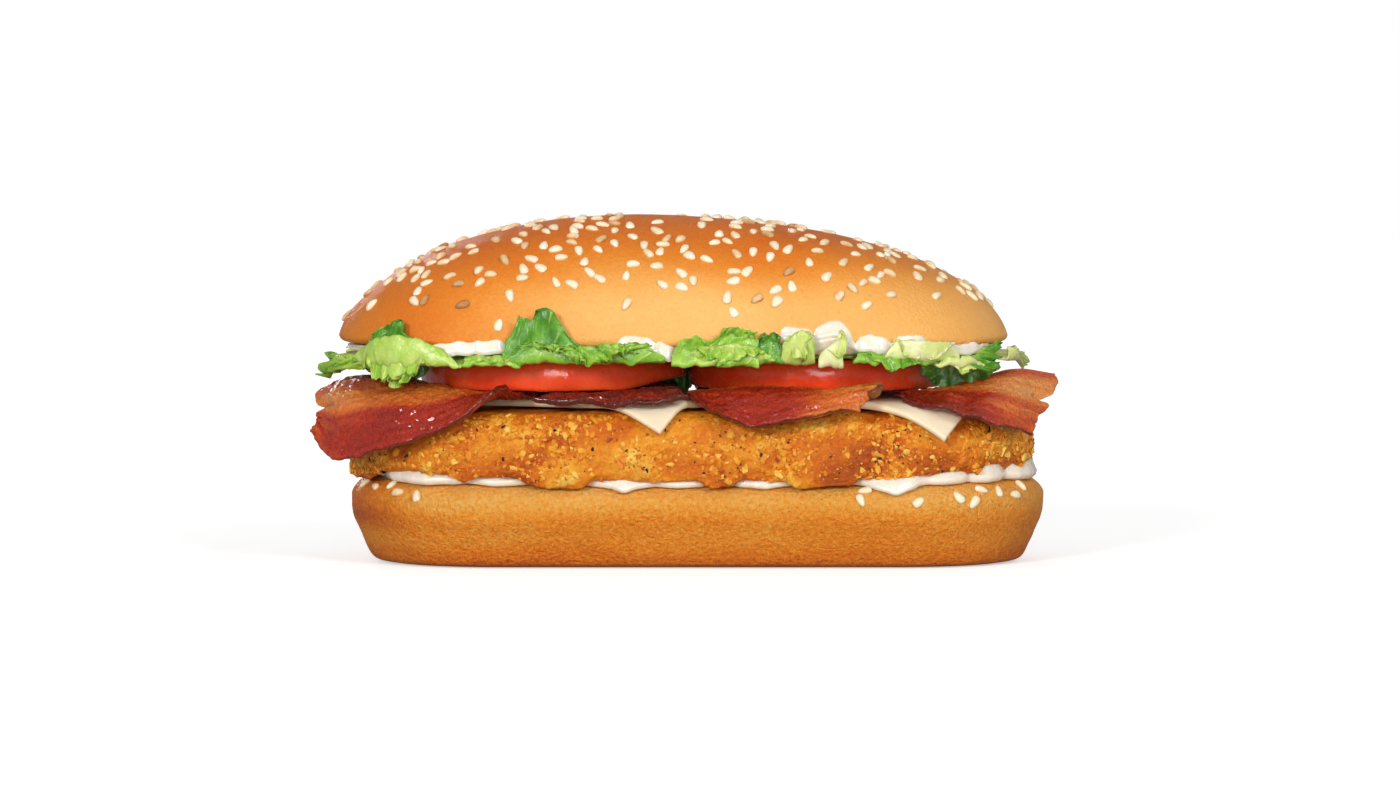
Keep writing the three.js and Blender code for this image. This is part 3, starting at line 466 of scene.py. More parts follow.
# Crusts: the shades of browning from pale to dark, which also carry some painted light and shade, how far
# mottle and speckle shift it, the size and depth of the skin's bumps, and the spacing of its pits and how
# much painted shade darkens them
CRUSTS = {
    "crown_crust": Form(
        stops=[
            (0, (0.96, 0.75, 0.44)), (0.25, (0.94, 0.66, 0.32)), (0.5, (0.90, 0.53, 0.15)),
            (0.75, (0.85, 0.43, 0.08)), (1, (0.70, 0.31, 0.05)),
        ],
        mottle=0.14, speckle=0.3, peel=(0.9, 0.35), pits=(3.4, 0.1),
    ),
    "heel_crust": Form(
        stops=[
            (0, (1.0, 0.78, 0.44)), (0.25, (0.99, 0.68, 0.27)), (0.5, (0.96, 0.57, 0.14)),
            (0.75, (0.90, 0.46, 0.09)), (1, (0.74, 0.32, 0.06)),
        ],
        mottle=0.16, speckle=1.25, peel=(0.9, 1.5), pits=(1.3, 0.42),
    ),
}


def crust_finish(name):
    """Baked bread: a browned skin, and pale crumb where it is cut."""
    crust = CRUSTS[name]
    f = Finish(name, specular_ior_level=0.28, subsurface_weight=0.1, subsurface_scale=1.5 * MM)
    bake = f.sum(f.value("bake"), f.noise(13, 3), crust.mottle)
    bake = f.sum(bake, f.noise(2.2, 3), 0.08)
    bake = f.sum(bake, f.noise(1.0, 4, rough=0.75), crust.speckle)
    skin = f.ramp(bake, *crust.stops)
    grain = f.noise(0.4, 3)
    crumb = f.ramp(f.noise(0.9, 5), (0.25, (0.88, 0.73, 0.50)), (0.75, (0.97, 0.90, 0.74)))
    base = f.blend(f.value("cut"), skin, crumb)
    spacing, darkness = crust.pits
    # the pits are darkened in colour as painted shade in their hollows
    dark = f.span(f.cells(spacing), 0.16, 0.05)
    base = f.blend(f.times(dark, darkness), base, colour(0.52, 0.27, 0.08))
    rough = f.sum(f.patchy(3, 0.42, 0.56), grain, 0.12)
    hole = f.add("Math", {0: 1.0, 1: dark}, operation="SUBTRACT").outputs[0]
    size, depth = crust.peel
    peel = f.noise(size, 4, rough=0.65)
    return f.finish(base, rough, (grain, 0.06), (peel, depth), (hole, 0.3 * darkness))


def seed_finish():
    f = Finish("seed", specular_ior_level=0.45, subsurface_weight=0.2, subsurface_scale=MM)
    tone = f.sum(f.value("tone"), f.noise(0.7, 2), 0.3)
    base = f.ramp(
        tone, (0, (0.98, 0.95, 0.86)), (0.42, (0.95, 0.88, 0.74)),
        (0.7, (0.88, 0.72, 0.50)), (1, (0.70, 0.48, 0.26)),
    )
    return f.finish(base, f.patchy(0.5, 0.3, 0.45, 2, 0.3), (f.noise(0.35, 3), 0.05))


def breading_finish():
    f = Finish("breading", specular_ior_level=0.32, subsurface_weight=0.15, subsurface_scale=1.2 * MM)
    height = f.sum(f.value("height"), f.noise(0.8, 4, rough=0.7), 0.45)
    # darker low in the hollows as painted shade; paler on the peaks, partly the paler crumbs and partly a
    # painted highlight
    base = f.ramp(
        height, (0.05, (0.64, 0.27, 0.03)), (0.3, (0.81, 0.40, 0.05)), (0.55, (0.89, 0.52, 0.08)),
        (0.8, (0.94, 0.65, 0.17)), (1, (0.97, 0.79, 0.36)),
    )
    warm = f.span(f.noise(8, 2), 0.52, 0.72, 0, 0.55)
    base = f.blend(warm, base, colour(0.87, 0.42, 0.06))
    dark = f.span(f.noise(5.5, 3), 0.62, 0.75, 0, 0.25)
    base = f.blend(dark, base, colour(0.70, 0.33, 0.06))
    rough = f.patchy(1.5, 0.32, 0.6)
    return f.finish(base, rough, (f.noise(0.5, 4, rough=0.7), 0.3), (f.noise(1.5, 4, rough=0.6), 0.8))


def crumb_finish():
    f = Finish("crumb", specular_ior_level=0.32, subsurface_weight=0.2, subsurface_scale=0.8 * MM)
    tone = f.sum(f.value("tone"), f.noise(0.6, 3), 0.3)
    base = f.ramp(
        tone, (0, (0.97, 0.80, 0.38)), (0.35, (0.93, 0.63, 0.17)),
        (0.7, (0.85, 0.47, 0.07)), (1, (0.64, 0.28, 0.04)),
    )
    return f.finish(base, f.patchy(1, 0.35, 0.6, 2), (f.noise(0.3, 3), 0.1))


def pepper_finish():
    f = Finish("pepper", specular_ior_level=0.4)
    base = f.ramp(f.noise(0.4, 3), (0.3, (0.07, 0.05, 0.04)), (0.75, (0.26, 0.16, 0.09)))
    return f.finish(base, f.patchy(0.5, 0.45, 0.7, 2), (f.noise(0.2, 3), 0.08))


def cheese_finish():
    f = Finish("cheese", specular_ior_level=0.45, subsurface_weight=0.4, subsurface_scale=3 * MM)
    base = f.ramp(f.noise(7, 3), (0.3, (0.95, 0.88, 0.77)), (0.7, (0.93, 0.85, 0.72)))
    # warmer and brighter along the thin edges: a painted glow of light through the thin cheese
    base = f.blend(f.span(f.value("rim"), 0.2, 1, 0.5, 0), base, colour(0.99, 0.90, 0.74))
    rough = f.patchy(2.5, 0.28, 0.42)
    return f.finish(base, rough, (f.noise(0.7, 3), 0.04), (f.noise(5, 2), 0.15))


def bacon_finish():
    f = Finish(
        "bacon", specular_ior_level=0.35, coat_weight=0.55, coat_roughness=0.1,
        subsurface_weight=0.08, subsurface_radius=(1, 0.4, 0.2), subsurface_scale=1.2 * MM,
    )
    fat = f.sum(f.value("fat"), f.noise(0.9, 4, rough=0.7), 0.26)
    base = f.ramp(
        fat, (0.0, (0.52, 0.08, 0.02)), (0.3, (0.74, 0.17, 0.05)), (0.46, (0.85, 0.34, 0.10)),
        (0.68, (0.94, 0.50, 0.18)), (1, (0.98, 0.68, 0.36)),
    )
    # char darkens the edges, and painted shade darkens a strip that lies in shade, both towards this dark
    # colour
    char_and_shade = f.span(f.sum(f.value("crisp_and_shade"), f.noise(2.2, 4), 0.9), 0.45, 1.0, 0, 0.85)
    base = f.blend(char_and_shade, base, colour(0.30, 0.09, 0.05))
    rough = f.patchy(1.2, 0.2, 0.5, 4, 0.15)
    return f.finish(base, rough, (f.noise(0.42, 3, rough=0.7), 0.65), (f.noise(1.4, 3), 1.1))


def tomato_finish():
    f = Finish(
        "tomato", specular_ior_level=0.25, coat_weight=0.3, coat_roughness=0.04,
        subsurface_weight=0.35, subsurface_radius=(1, 0.3, 0.2), subsurface_scale=4 * MM,
    )
    skin = f.ramp(f.noise(6, 3), (0.3, (0.98, 0.26, 0.11)), (0.7, (1.0, 0.37, 0.18)))
    flesh = f.ramp(f.noise(2.6, 4), (0.3, (0.90, 0.28, 0.16)), (0.7, (0.97, 0.48, 0.30)))
    base = f.blend(f.value("skin"), flesh, skin)
    # pale specks on the skin are painted glints of light; they also raise small bumps
    glint_specks = f.span(f.cells(0.95), 0.14, 0.04)
    base = f.blend(f.times(glint_specks, 0.35), base, colour(0.98, 0.58, 0.36))
    rough = f.patchy(1.4, 0.12, 0.3, 3, 0.15)
    return f.finish(base, rough, (glint_specks, 0.06), (f.noise(3.5, 3), 0.3))


def leaf_finish():
    f = Finish(
        "leaf", specular_ior_level=0.5, coat_weight=0.25, coat_roughness=0.2,
        subsurface_weight=0.35, subsurface_radius=(0.6, 1, 0.25), subsurface_scale=1.6 * MM,
    )
    tone = f.sum(f.value("tone"), f.noise(3.2, 4), 0.35)
    base = f.ramp(
        tone, (0, (0.96, 0.95, 0.78)), (0.25, (0.85, 0.90, 0.52)), (0.5, (0.64, 0.80, 0.25)),
        (0.75, (0.38, 0.63, 0.14)), (1, (0.18, 0.42, 0.09)),
    )
    base = f.blend(f.span(f.value("vein"), 0.1, 0.9, 0, 0.55), base, colour(0.76, 0.88, 0.46))
    bumps = ((f.value("vein"), 0.22), (f.noise(0.8, 3), 0.12), (f.noise(2.4, 2), 0.3))
    return f.finish(base, f.patchy(1.3, 0.25, 0.45), *bumps)


def mayo_finish():
    f = Finish(
        "mayonnaise", specular_ior_level=0.5, coat_weight=0.4, coat_roughness=0.1,
        subsurface_weight=0.5, subsurface_scale=2.5 * MM,
    )
    base = f.ramp(f.noise(4, 3), (0.3, (0.94, 0.89, 0.81)), (0.7, (0.96, 0.92, 0.86)))
    return f.finish(base, f.patchy(2, 0.15, 0.3), (f.noise(0.8, 2), 0.04), (f.noise(3, 3), 0.25))


# Bun crown
def crown_point(t, k):
    """The plain dome, at shares t round it and k out from its top."""
    q, _ = outline(CROWN, t)
    high = np.sqrt(np.clip(1 - k * k, 0, 1))
    x = CROWN.cx + (q[..., 0] - CROWN.cx) * k - CROWN.lean * high**4
    return stack(x, q[..., 1] * k, CROWN.base + (CROWN.top - CROWN.base) * high)


def crown_normal(t, k):
    ahead = crown_point(t + 0.002, k) - crown_point(t - 0.002, k)
    inward = crown_point(t, k - 0.006) - crown_point(t, k + 0.006)
    return unit(np.cross(ahead, inward))


def crown_skin(t, k):
    """The dome with the slight unevenness of baked bread."""
    at = crown_point(t, k)
    uneven = 0.24 * noise(at, 19, 3) + 0.07 * noise(at, 5, 4)
    return at + crown_normal(t, np.clip(k, 0.02, 0.99)) * uneven[..., None]


def crown_bake(at):
    """How brown the dome is: most along its top and towards its left end, palest low in the middle, where a
    painted highlight of the front light lightens it further.
    """
    x, z = at[..., 0], at[..., 2]
    top, left = smooth(64, 84, z), smooth(-20, -78, x)
    bake = 0.18 + 0.54 * top + 0.44 * left * (1 - 0.6 * top)
    bake += 0.12 * bell(x, 20, 20) * bell(z, 75, 8)
    # paler low in the middle: paler baking there, and a painted highlight where the front light reflects
    bake -= 0.10 * bell(x, -4, 24) * bell(z, 62, 9)
    return bake + 0.06 * noise(at, (26, 26, 12), 8)


LIP_DEGREES = 6  # how far up the dome its rounded lip ends


def make_crown(finish):
    t = way_round(AROUND.crown)
    q, _ = outline(CROWN, t)
    rings, cut = [], []
    for share in (0.2, 0.5, 0.8, 0.93):
        uneven = 0.15 * noise(scaled(q, share, 0), 5, 6)
        rings.append(scaled(q, share, CROWN.lip + uneven, CROWN.cx))
        cut.append(1)
    lip_angle = math.radians(LIP_DEGREES)
    edge_z = CROWN.base + (CROWN.top - CROWN.base) * math.sin(lip_angle)
    for s in np.linspace(0, 1, 8)[:-1]:
        share = (1 - s) ** 2 * 0.955 + 2 * s * (1 - s) * 0.993 + s * s * math.cos(lip_angle)
        z = (1 - s) ** 2 * CROWN.lip + 2 * s * (1 - s) * CROWN.lip + s * s * edge_z
        rings.append(scaled(q, share, z, CROWN.cx))
        cut.append(smooth(0.3, 0, s))
    for degrees in np.linspace(LIP_DEGREES, 88.6, 84):
        rings.append(crown_skin(t, np.full_like(t, math.cos(math.radians(degrees)))))
        cut.append(0)
    rings = np.stack(rings)
    cuts = np.broadcast_to(np.array(cut, float)[:, None], rings.shape[:2])
    ring_piece("crown_bread", rings, finish, ["bun_top"], "bun", bake=crown_bake(rings), cut=cuts)


# Sesame seeds
MORE_SEEDS = 130  # beyond those that the part's source lays out
SEED_ROOM = 2.9  # how far apart their middles lie at least
SEED_TRIES = 6000


def crown_seed_places():
    """Even over the dome, thinner near the lip, none closer than a seed's width."""
    random = random_stream(7)
    places = []
    for _ in range(SEED_TRIES):
        if len(places) == SEED.crown + MORE_SEEDS:
            break
        t, share, chance, turn, size = [random() for _ in range(5)]
        k = 0.1 + 0.89 * math.sqrt(share)
        at = crown_point(t, k)
        crowded = any(np.sum((at - other[0]) ** 2) < SEED_ROOM**2 for other in places)
        if chance < smooth(0.9, 1, k) or crowded:
            continue
        places.append((at, t, k, turn * 2 * math.pi, 0.9 + 0.2 * size))
    t, k, turn, size = [np.array([place[i] for place in places]) for i in (1, 2, 3, 4)]
    return crown_skin(t, k), crown_normal(t, k), turn, size


# Seeds on the heel: share of the way round, and run past its shoulder line
HEEL_SEEDS = [
    [0.535, 3.6], [0.5515, 4.2], [0.564, 3.2], [0.573, 5.2], [0.586, 5.8], [0.8505, 3.4], [0.848, 6.2],
    [0.881, 6.8], [0.9025, 6], [0.911, 7.4], [0.9175, 4.2], [0.9285, 5], [0.94, 6.2], [0.9505, 4],
    [0.05, 4.2], [0.12, 3.6], [0.31, 4.4], [0.44, 4.0],
]


def make_seeds(name, at, normal, turn, size, finish, node):
    """Flat teardrops with a round butt and a narrow tip, each a little different."""
    draw = np.random.default_rng(5)
    rings, around = 9, AROUND.seed
    way = np.linspace(0, math.pi, rings + 2)[1:-1]
    angle = way_round(around) * 2 * math.pi
    x = -np.cos(way)[:, None] * np.ones(around)
    taper = (1 - 0.35 * x) * np.sin(way)[:, None] ** 0.85
    y = taper * np.cos(angle)
    z = np.sin(way)[:, None] * np.sin(angle)
    drop = np.concatenate([stack(x, y, z).reshape(-1, 3), [[-1, 0, 0], [1, 0, 0]]])
    sizes = np.array([SEED.long, SEED.wide, SEED.high])
    count = len(at)
    own = sizes * size[:, None] * draw.uniform([0.92, 0.9, 0.85], [1.06, 1.08, 1.1], (count, 3))
    local = drop[None] * own[:, None]
    local[..., 1] += 0.09 * drop[None, :, 0] ** 2 * draw.uniform(-1, 1, (count, 1)) * own[:, 1:2]
    tilt = draw.normal(0, 0.08, (count, 1))
    local[..., 2] += local[..., 0] * tilt
    world = np.einsum("nij,npj->npi", turned(normal, turn), local)
    points = at[:, None] + world + normal[:, None] * SEED.sunk
    faces = [repeated(face, count, len(drop)) for face in ring_faces(rings, around)]
    tone = np.clip(draw.normal(0.3, 0.13, count) + (draw.random(count) < 0.1) * 0.35, 0.02, 0.95)
    # darker round the side and towards the tip: partly the seed's own tan edge, partly painted shade where it
    # curves away
    rim = 0.34 * np.clip(np.abs(drop[:, 1]), 0, 1) ** 3 + 0.26 * np.clip(drop[:, 0], 0, 1) ** 3
    return piece(name, points, faces, finish, [node], {"tone": tone[:, None] + rim[None]})


# Bun heel
HEEL_SHOULDER = inset(HEEL, HEEL.shoulder)
# The side from the foot up: distance out from the shoulder line, and height
HEEL_SIDE = [[-3.4, 0], [-0.4, 0.6], [1.2, 2], [2.7, 4.8], [4.2, 8.2], [5.6, 11.6]]


def heel_top(x):
    return HEEL.top + HEEL.rise * np.minimum(1, (x / 80) ** 2)


def over_heel(t, s, lift):
    """A point at a run s past the shoulder line, over the edge and down the side, lifted off the skin."""
    q, n = outline(HEEL_SHOULDER, t)
    quarter = math.pi / 2 * HEEL.drop
    angle = np.clip(s, 0, quarter) / HEEL.drop
    off = np.minimum(s, 0) + (HEEL.shoulder + lift) * np.sin(angle)
    down = HEEL.drop * (1 - np.cos(angle)) + np.maximum(0, s - quarter)
    z = heel_top(q[..., 0]) - down + lift * np.cos(angle)
    return offset(q, n, off, z)


def make_heel(finish):
    t = way_round(AROUND.heel)
    q, n = outline(HEEL_SHOULDER, t)
    control = [offset(q, n, off, z) for off, z in HEEL_SIDE]
    for degrees in (90, 68, 45, 22, 0):
        control.append(over_heel(t, np.full_like(t, math.radians(degrees) * HEEL.drop), 0))
    control = np.stack(control)
    rings = [scaled(q, k, 0) for k in (0.3, 0.6, 0.85)]
    rings += [spline(control, np.full_like(t, s)) for s in np.linspace(0, 1, 56)]
    rings = np.stack(rings)
    sideways = stack(n[:, 0], n[:, 1], 0)[None] * smooth(0.2, 4, rings[..., 2])[..., None]
    uneven = 0.3 * noise(rings, (17, 17, 8), 13) + 0.12 * noise(rings, (3.5, 3.5, 2), 14)
    uneven += 0.05 * noise(rings, 1.4, 15) - 0.15
    rings = rings + sideways * uneven[..., None]
    tops = [scaled(q, k, heel_top(q[:, 0] * k)) for k in (0.97, 0.85, 0.6, 0.3)]
    rings = np.concatenate([rings, np.stack(tops)])
    x, z = rings[..., 0], rings[..., 2]
    bake = 0.47 - 0.26 * smooth(11, 17, z) + 0.22 * smooth(7, 1, z) + 0.1 * smooth(66, 86, x)
    # darker at the top of the left end: painted shade under the bacon that hangs above it
    bake += 0.5 * smooth(-66, -84, x) * smooth(7, 13, z)
    bake += 0.08 * noise(rings, (30, 30, 9), 16)
    cut = np.zeros(rings.shape[:2])
    cut[-5:] = 1
    cut[-6] = 0.6
    ring_piece("heel_bread", rings, finish, ["bun_bottom"], "bun", bake=bake, cut=cut)


def make_heel_seeds(finish):
    t, run = np.array(HEEL_SEEDS).T
    at = over_heel(t, run, 0)
    normal = unit(over_heel(t, run, 1.0) - at)
    turn = 1.9 * np.arange(len(t))
    make_seeds("heel_seeds", at, normal, turn, np.ones(len(t)), finish, "bun_bottom")


# Breaded chicken
CHICKEN_SHOULDER = inset(CHICKEN, CHICKEN.round)
SAG_END = math.radians(35)


def chicken_top(x):
    return CHICKEN.top - CHICKEN.end_drop * np.abs((x - CHICKEN.cx) / CHICKEN.a) ** 4


def chicken_bottom(x):
    return heel_top(x) + 2 * GAP + MAYO.thick + MAYO.bulge


def chicken_sag(x, y):
    """How far the lower edge sags: most of what the heel's shoulder falls below it."""
    out = np.clip(distance_to(HEEL_SHOULDER, x, y)[0] / HEEL.shoulder, 0, 1)
    return np.minimum(CHICKEN.sag, 0.8 * HEEL.drop * (1 - np.sqrt(1 - out * out)))


def chicken_relief(at):
    """How far the breading stands off or sinks under its mean surface, and how clotted it is."""
    long = at * np.array([0.75, 0.75, 1])
    fold = noise(long, 8.5, 31)
    clot = smooth(-0.25, 0.45, noise(long, 10, 32))
    near, drawn = pebbles(at + 1.1 * noise(at, 1.8, 33)[..., None], 3.1, 34)
    big = np.clip(1.25 - 1.4 * near, 0, 0.8) * (0.3 + 0.9 * drawn)
    near, drawn = pebbles(at + 0.5 * noise(at, 1, 37)[..., None], 1.5, 35)
    small = np.clip(1.2 - 1.5 * near, 0, 0.8) * (0.3 + 0.8 * drawn)
    clotted = clot * (0.95 * big + 0.6 * small)
    bare = (1 - clot) * (0.2 * big + 0.35 * small)
    out = 0.8 * fold + clotted + bare + 0.16 * noise(at, 0.8, 36)
    return out - 1.1, clot


def chicken_rings(t):
    """Rings from the middle of the underside, round the side and to the middle of the top, with normals.

    The lower edge comes down to the heel, less where mayonnaise shows under it.
    """
    q, n = outline(CHICKEN_SHOULDER, t)
    low, high = chicken_bottom(q[:, 0]), chicken_top(q[:, 0])
    shown = smooth(-0.9, 0.9, drip_at(LOWER_DRIPS, q) - MAYO.lower_inset)
    lifted = -0.6 - 1.9 * smooth(48, 70, np.abs(q[:, 0]))
    rings, normals = [], []

    def flat(k, level, side):
        x = CHICKEN.cx + (q[:, 0] - CHICKEN.cx) * k
        rings.append(stack(x, q[:, 1] * k, level(x)))
        normals.append(stack(0 * x, 0 * x, side))

    def edge(angle, off, z, side):
        rings.append(offset(q, n, off, z))
        normals.append(stack(n[:, 0] * math.sin(angle), n[:, 1] * math.sin(angle), side * math.cos(angle)))

    for k in (0.4, 0.8):
        flat(k, chicken_bottom, -1)
    sag = 0
    for angle in angles(0, 90, 12):
        off = CHICKEN.round - CHICKEN.round_low * (1 - math.sin(angle))
        sag = chicken_sag(q[:, 0] + n[:, 0] * off, q[:, 1] + n[:, 1] * off)
        sag = (sag + mix(1.3, lifted, shown)) * smooth(0, SAG_END, angle)
        edge(angle, off, low + CHICKEN.round_low * (1 - math.cos(angle)) - sag, -1)
    for s in np.linspace(0, 1, 18)[1:-1]:
        z = mix(low + CHICKEN.round_low - sag, high - CHICKEN.round, s)
        edge(math.pi / 2, CHICKEN.round + 0.4 * math.sin(math.pi * s), z, 1)
    for angle in angles(90, 0, 24):
        edge(angle, CHICKEN.round * math.sin(angle), high - CHICKEN.round * (1 - math.cos(angle)), 1)
    for k in (0.97, 0.93, 0.85, 0.7, 0.5, 0.25):
        flat(k, chicken_top, 1)
    return np.stack(rings), np.stack(normals)


def make_chicken(finish, crumb, pepper):
    t = way_round(AROUND.chicken)
    rings, normals = chicken_rings(t)
    out, clot = chicken_relief(rings)
    side = np.linalg.norm(normals[..., :2], axis=-1)
    skin = rings + normals * (out * mix(0.35, 1, side))[..., None]
    # the height also drives painted shade in the hollows and a painted highlight on the peaks
    height = smooth(-1.9, 0.5, out)
    ring_piece("chicken_breading", skin, finish, ["chicken"], "breading", height=height)
    z = skin[..., 2]
    weight = (0.25 + clot) * smooth(0.25, 0.7, side) * smooth(21, 23, z)
    make_lumps("chicken_crumbs", CRUMBS, skin, normals, weight, crumb)
    weight = smooth(0.3, 0.8, side) * smooth(22, 24, z)
    make_lumps("pepper_flecks", FLECKS, skin, normals, weight, pepper)


# A ball of twenty triangles
GOLDEN = (1 + math.sqrt(5)) / 2
BALL = np.array([
    [-1, GOLDEN, 0], [1, GOLDEN, 0], [-1, -GOLDEN, 0], [1, -GOLDEN, 0],
    [0, -1, GOLDEN], [0, 1, GOLDEN], [0, -1, -GOLDEN], [0, 1, -GOLDEN],
    [GOLDEN, 0, -1], [GOLDEN, 0, 1], [-GOLDEN, 0, -1], [-GOLDEN, 0, 1],
]) / math.hypot(1, GOLDEN)
BALL_FACES = np.array([
    [0, 11, 5], [0, 5, 1], [0, 1, 7], [0, 7, 10], [0, 10, 11], [1, 5, 9], [5, 11, 4], [11, 10, 2],
    [10, 7, 6], [7, 1, 8], [3, 9, 4], [3, 4, 2], [3, 2, 6], [3, 6, 8], [3, 8, 9], [4, 9, 5],
    [2, 4, 11], [6, 2, 10], [8, 6, 7], [9, 8, 1],
])


def shards(at, normal, sizes, draw, jitter):
    """Uneven little lumps of twenty faces each, lying on a surface."""
    count = len(at)
    local = BALL[None] * draw.uniform(1 - jitter, 1 + jitter, (count, len(BALL), 1)) * sizes[:, None]
    world = np.einsum("nij,npj->npi", turned(normal, draw.uniform(0, 2 * math.pi, count)), local)
    return at[:, None] + world, repeated(BALL_FACES, count, len(BALL))


def scattered(skin, normals, weight, count, draw):
    """Random points of a surface of rings, more where the weight is high."""
    share = (weight / weight.sum()).ravel()
    pick = draw.choice(share.size, count, p=share)
    wander = draw.normal(0, 0.2, (count, 3))
    lean = unit(normals.reshape(-1, 3)[pick] + draw.normal(0, 0.28, (count, 3)))
    return skin.reshape(-1, 3)[pick] + wander, lean


# Lumps on the breading: the seed of their draws, how many, their least radius, its range and the power
# that keeps most of them small, the least and the most of their three sizes, how far they stand off in
# millimetres and sink in radii, how uneven they are, and whether each has a tone of its own
CRUMBS = Form(
    seed=11, count=9800, radius=(0.2, 0.85, 3.4), least=[0.8, 0.5, 0.3], most=[1.5, 1.05, 0.6],
    off=0, sunk=0.1, jitter=0.36, toned=True,
)
FLECKS = Form(
    seed=12, count=420, radius=(0.15, 0.5, 2.6), least=[1, 0.5, 0.3], most=[1.7, 0.9, 0.5],
    off=0.16, sunk=0, jitter=0.3, toned=False,
)


def make_lumps(name, kind, skin, normals, weight, finish):
    draw = np.random.default_rng(kind.seed)
    at, lean = scattered(skin, normals, weight, kind.count, draw)
    least, more, power = kind.radius
    radius = least + more * draw.random(kind.count) ** power
    sizes = radius[:, None] * draw.uniform(kind.least, kind.most, (kind.count, 3))
    off = kind.off - radius * kind.sunk
    points, faces = shards(at + lean * off[:, None], lean, sizes, draw, kind.jitter)
    values = {}
    if kind.toned:
        tone = np.clip(draw.normal(0.52, 0.22, kind.count) - 0.2 * (radius - 0.4), 0, 1)
        values["tone"] = np.repeat(tone, len(BALL))
    made = piece(name, points, [faces], finish, ["chicken"], values)
    made.data.shade_flat()


# Cheese
def drape(x, y, flat_lift, bend):
    """Where a limp sheet lies on the chicken and over its shoulder: x and y measured along the sheet."""
    d, nx, ny = distance_to(CHICKEN_SHOULDER, x, y)
    past = np.maximum(d, 0)
    angle = np.minimum(past / (CHICKEN.round + flat_lift), bend)
    rest = past - (CHICKEN.round + flat_lift) * angle
    lift = flat_lift + CHEESE.spring * np.sin(np.minimum(2 * angle, math.pi / 2))
    out = (CHICKEN.round + lift) * np.sin(angle) + rest * np.cos(angle)
    down = (CHICKEN.round + lift) * (1 - np.cos(angle)) + rest * np.sin(angle) - lift
    qx, qy = x - nx * past, y - ny * past
    return stack(qx + nx * out, qy + ny * out, chicken_top(qx) - down)


CHEESE_LEFT = Form(x=-9.1, y=-46.4, turn=math.radians(35))
CHEESE_RIGHT = Form(x=61.2, y=-45.8, turn=math.radians(23))
RIGHT_TRIM = 3.0  # the right slice is cut a little short at its far side


def inside_slice(place, x, y):
    """How far a point of the flat sheet lies inside a slice, negative outside."""
    dx, dy = x - place.x, y - place.y
    p = dx * math.sin(place.turn) + dy * math.cos(place.turn)
    q = -dx * math.cos(place.turn) + dy * math.sin(place.turn)
    return np.minimum(np.minimum(p, CHEESE.side - p), np.minimum(q, CHEESE.side - q))


def make_cheese(node, place, other, upper, finish):
    edge = CHEESE.thick * 0.42
    shares = sheet_steps(CHEESE.side, 64, edge)
    p, q = np.meshgrid(shares * (CHEESE.side - upper * RIGHT_TRIM), shares * CHEESE.side)
    x = place.x + p * math.sin(place.turn) - q * math.cos(place.turn)
    y = place.y + p * math.cos(place.turn) + q * math.sin(place.turn)
    mid = drape(x, y, 1.6 * GAP + CHEESE.thick / 2, CHEESE.bend)
    half = CHEESE.thick / 2 * rounded(shares, shares, CHEESE.side, CHEESE.side, edge)
    both = smooth(-1.5, 0.5, inside_slice(other, x, y))
    room = CHEESE.thick * 0.55 * both
    low = -half + (np.minimum(room, half) if upper else 0)
    high = half - (0 if upper else np.minimum(room, half))
    wave = 0.14 * noise(stack(x, y, 0), 13, 41)
    points, faces, order = sheet_mesh(mid, low + wave, high + wave)
    values = {"rim": rounded(shares, shares, CHEESE.side, CHEESE.side, 3.0).ravel()[order]}
    piece(node + "_slice", points, [faces], finish, [node], values)


# Bacon
FLAT = BACON.flat
# Each strip's surface: its back edge, its middle and its front edge, each a run of x, y, z
BACON_LEFT = [
    [-93, -12, 42.6, -87, -12, 45.6, -76, -16, 46.2, -66, -19, 44.6, -45, -8, FLAT, -32, 0, FLAT],
    [-93.8, -22, 37.8, -86.5, -30, 39.6, -72.7, -37, 41, -59.2, -38, 42.6, -47, -29, FLAT, -35, -12, FLAT],
    [-94.4, -27, 33.1, -87.9, -35, 26.4, -72.4, -43.5, 31, -59, -46, 35.7, -48.9, -42, 44.4, -40, -22, FLAT],
]
BACON_MIDDLE = [
    [-35, -24, FLAT, -24, -21, FLAT, -13, -18, FLAT, -4, -17, FLAT],
    [-37, -33.5, 41.9, -24, -36.5, 42.6, -13, -37, 43.2, -4, -37, 43.6],
    [-39, -38, 41.6, -24, -41.5, 40.4, -13, -43.5, 40.6, -3.2, -43, 42.4],
]
BACON_CENTRE = [
    [-2, -19, FLAT, 9, -20, FLAT, 20, -20, FLAT, 32, -22, FLAT, 43, -23, FLAT],
    [-1.8, -33, FLAT, 7, -38, 43.3, 19, -40, 43.6, 32, -42, 43.4, 44.5, -43, 45],
    [-1.4, -38, 42.4, 6.5, -46, 37.4, 17, -48, 35.4, 28.5, -48, 38.2, 39, -47.5, 38.8],
]
BACON_RIGHT = [
    [49, -12, FLAT, 58, -20, 42.8, 66, -21, 44.6, 78, -18, 47.8, 88.6, -14, 46.6],
    [51, -26, FLAT, 59.5, -31, 42.8, 67, -31, 42.8, 76, -31, 42.4, 86.2, -25, 39],
    [50.5, -38, 41.4, 60, -43.5, 39.2, 66, -43, 37.6, 73, -41, 35.6, 81.2, -34.5, 32.8],
]
BACON_BACK_LEFT = [
    [-4, 18, FLAT, -18, 17, FLAT, -32, 18, FLAT, -47, 19, FLAT, -61, 20, FLAT],
    [-3, 32, FLAT, -18, 36, 42.8, -32, 39, 43.4, -46, 38, 43, -60, 34, 42.4],
    [-2, 38, 41.4, -18, 44.5, 38, -32, 47.5, 35.6, -45, 46, 37, -58.6, 42, 40],
]
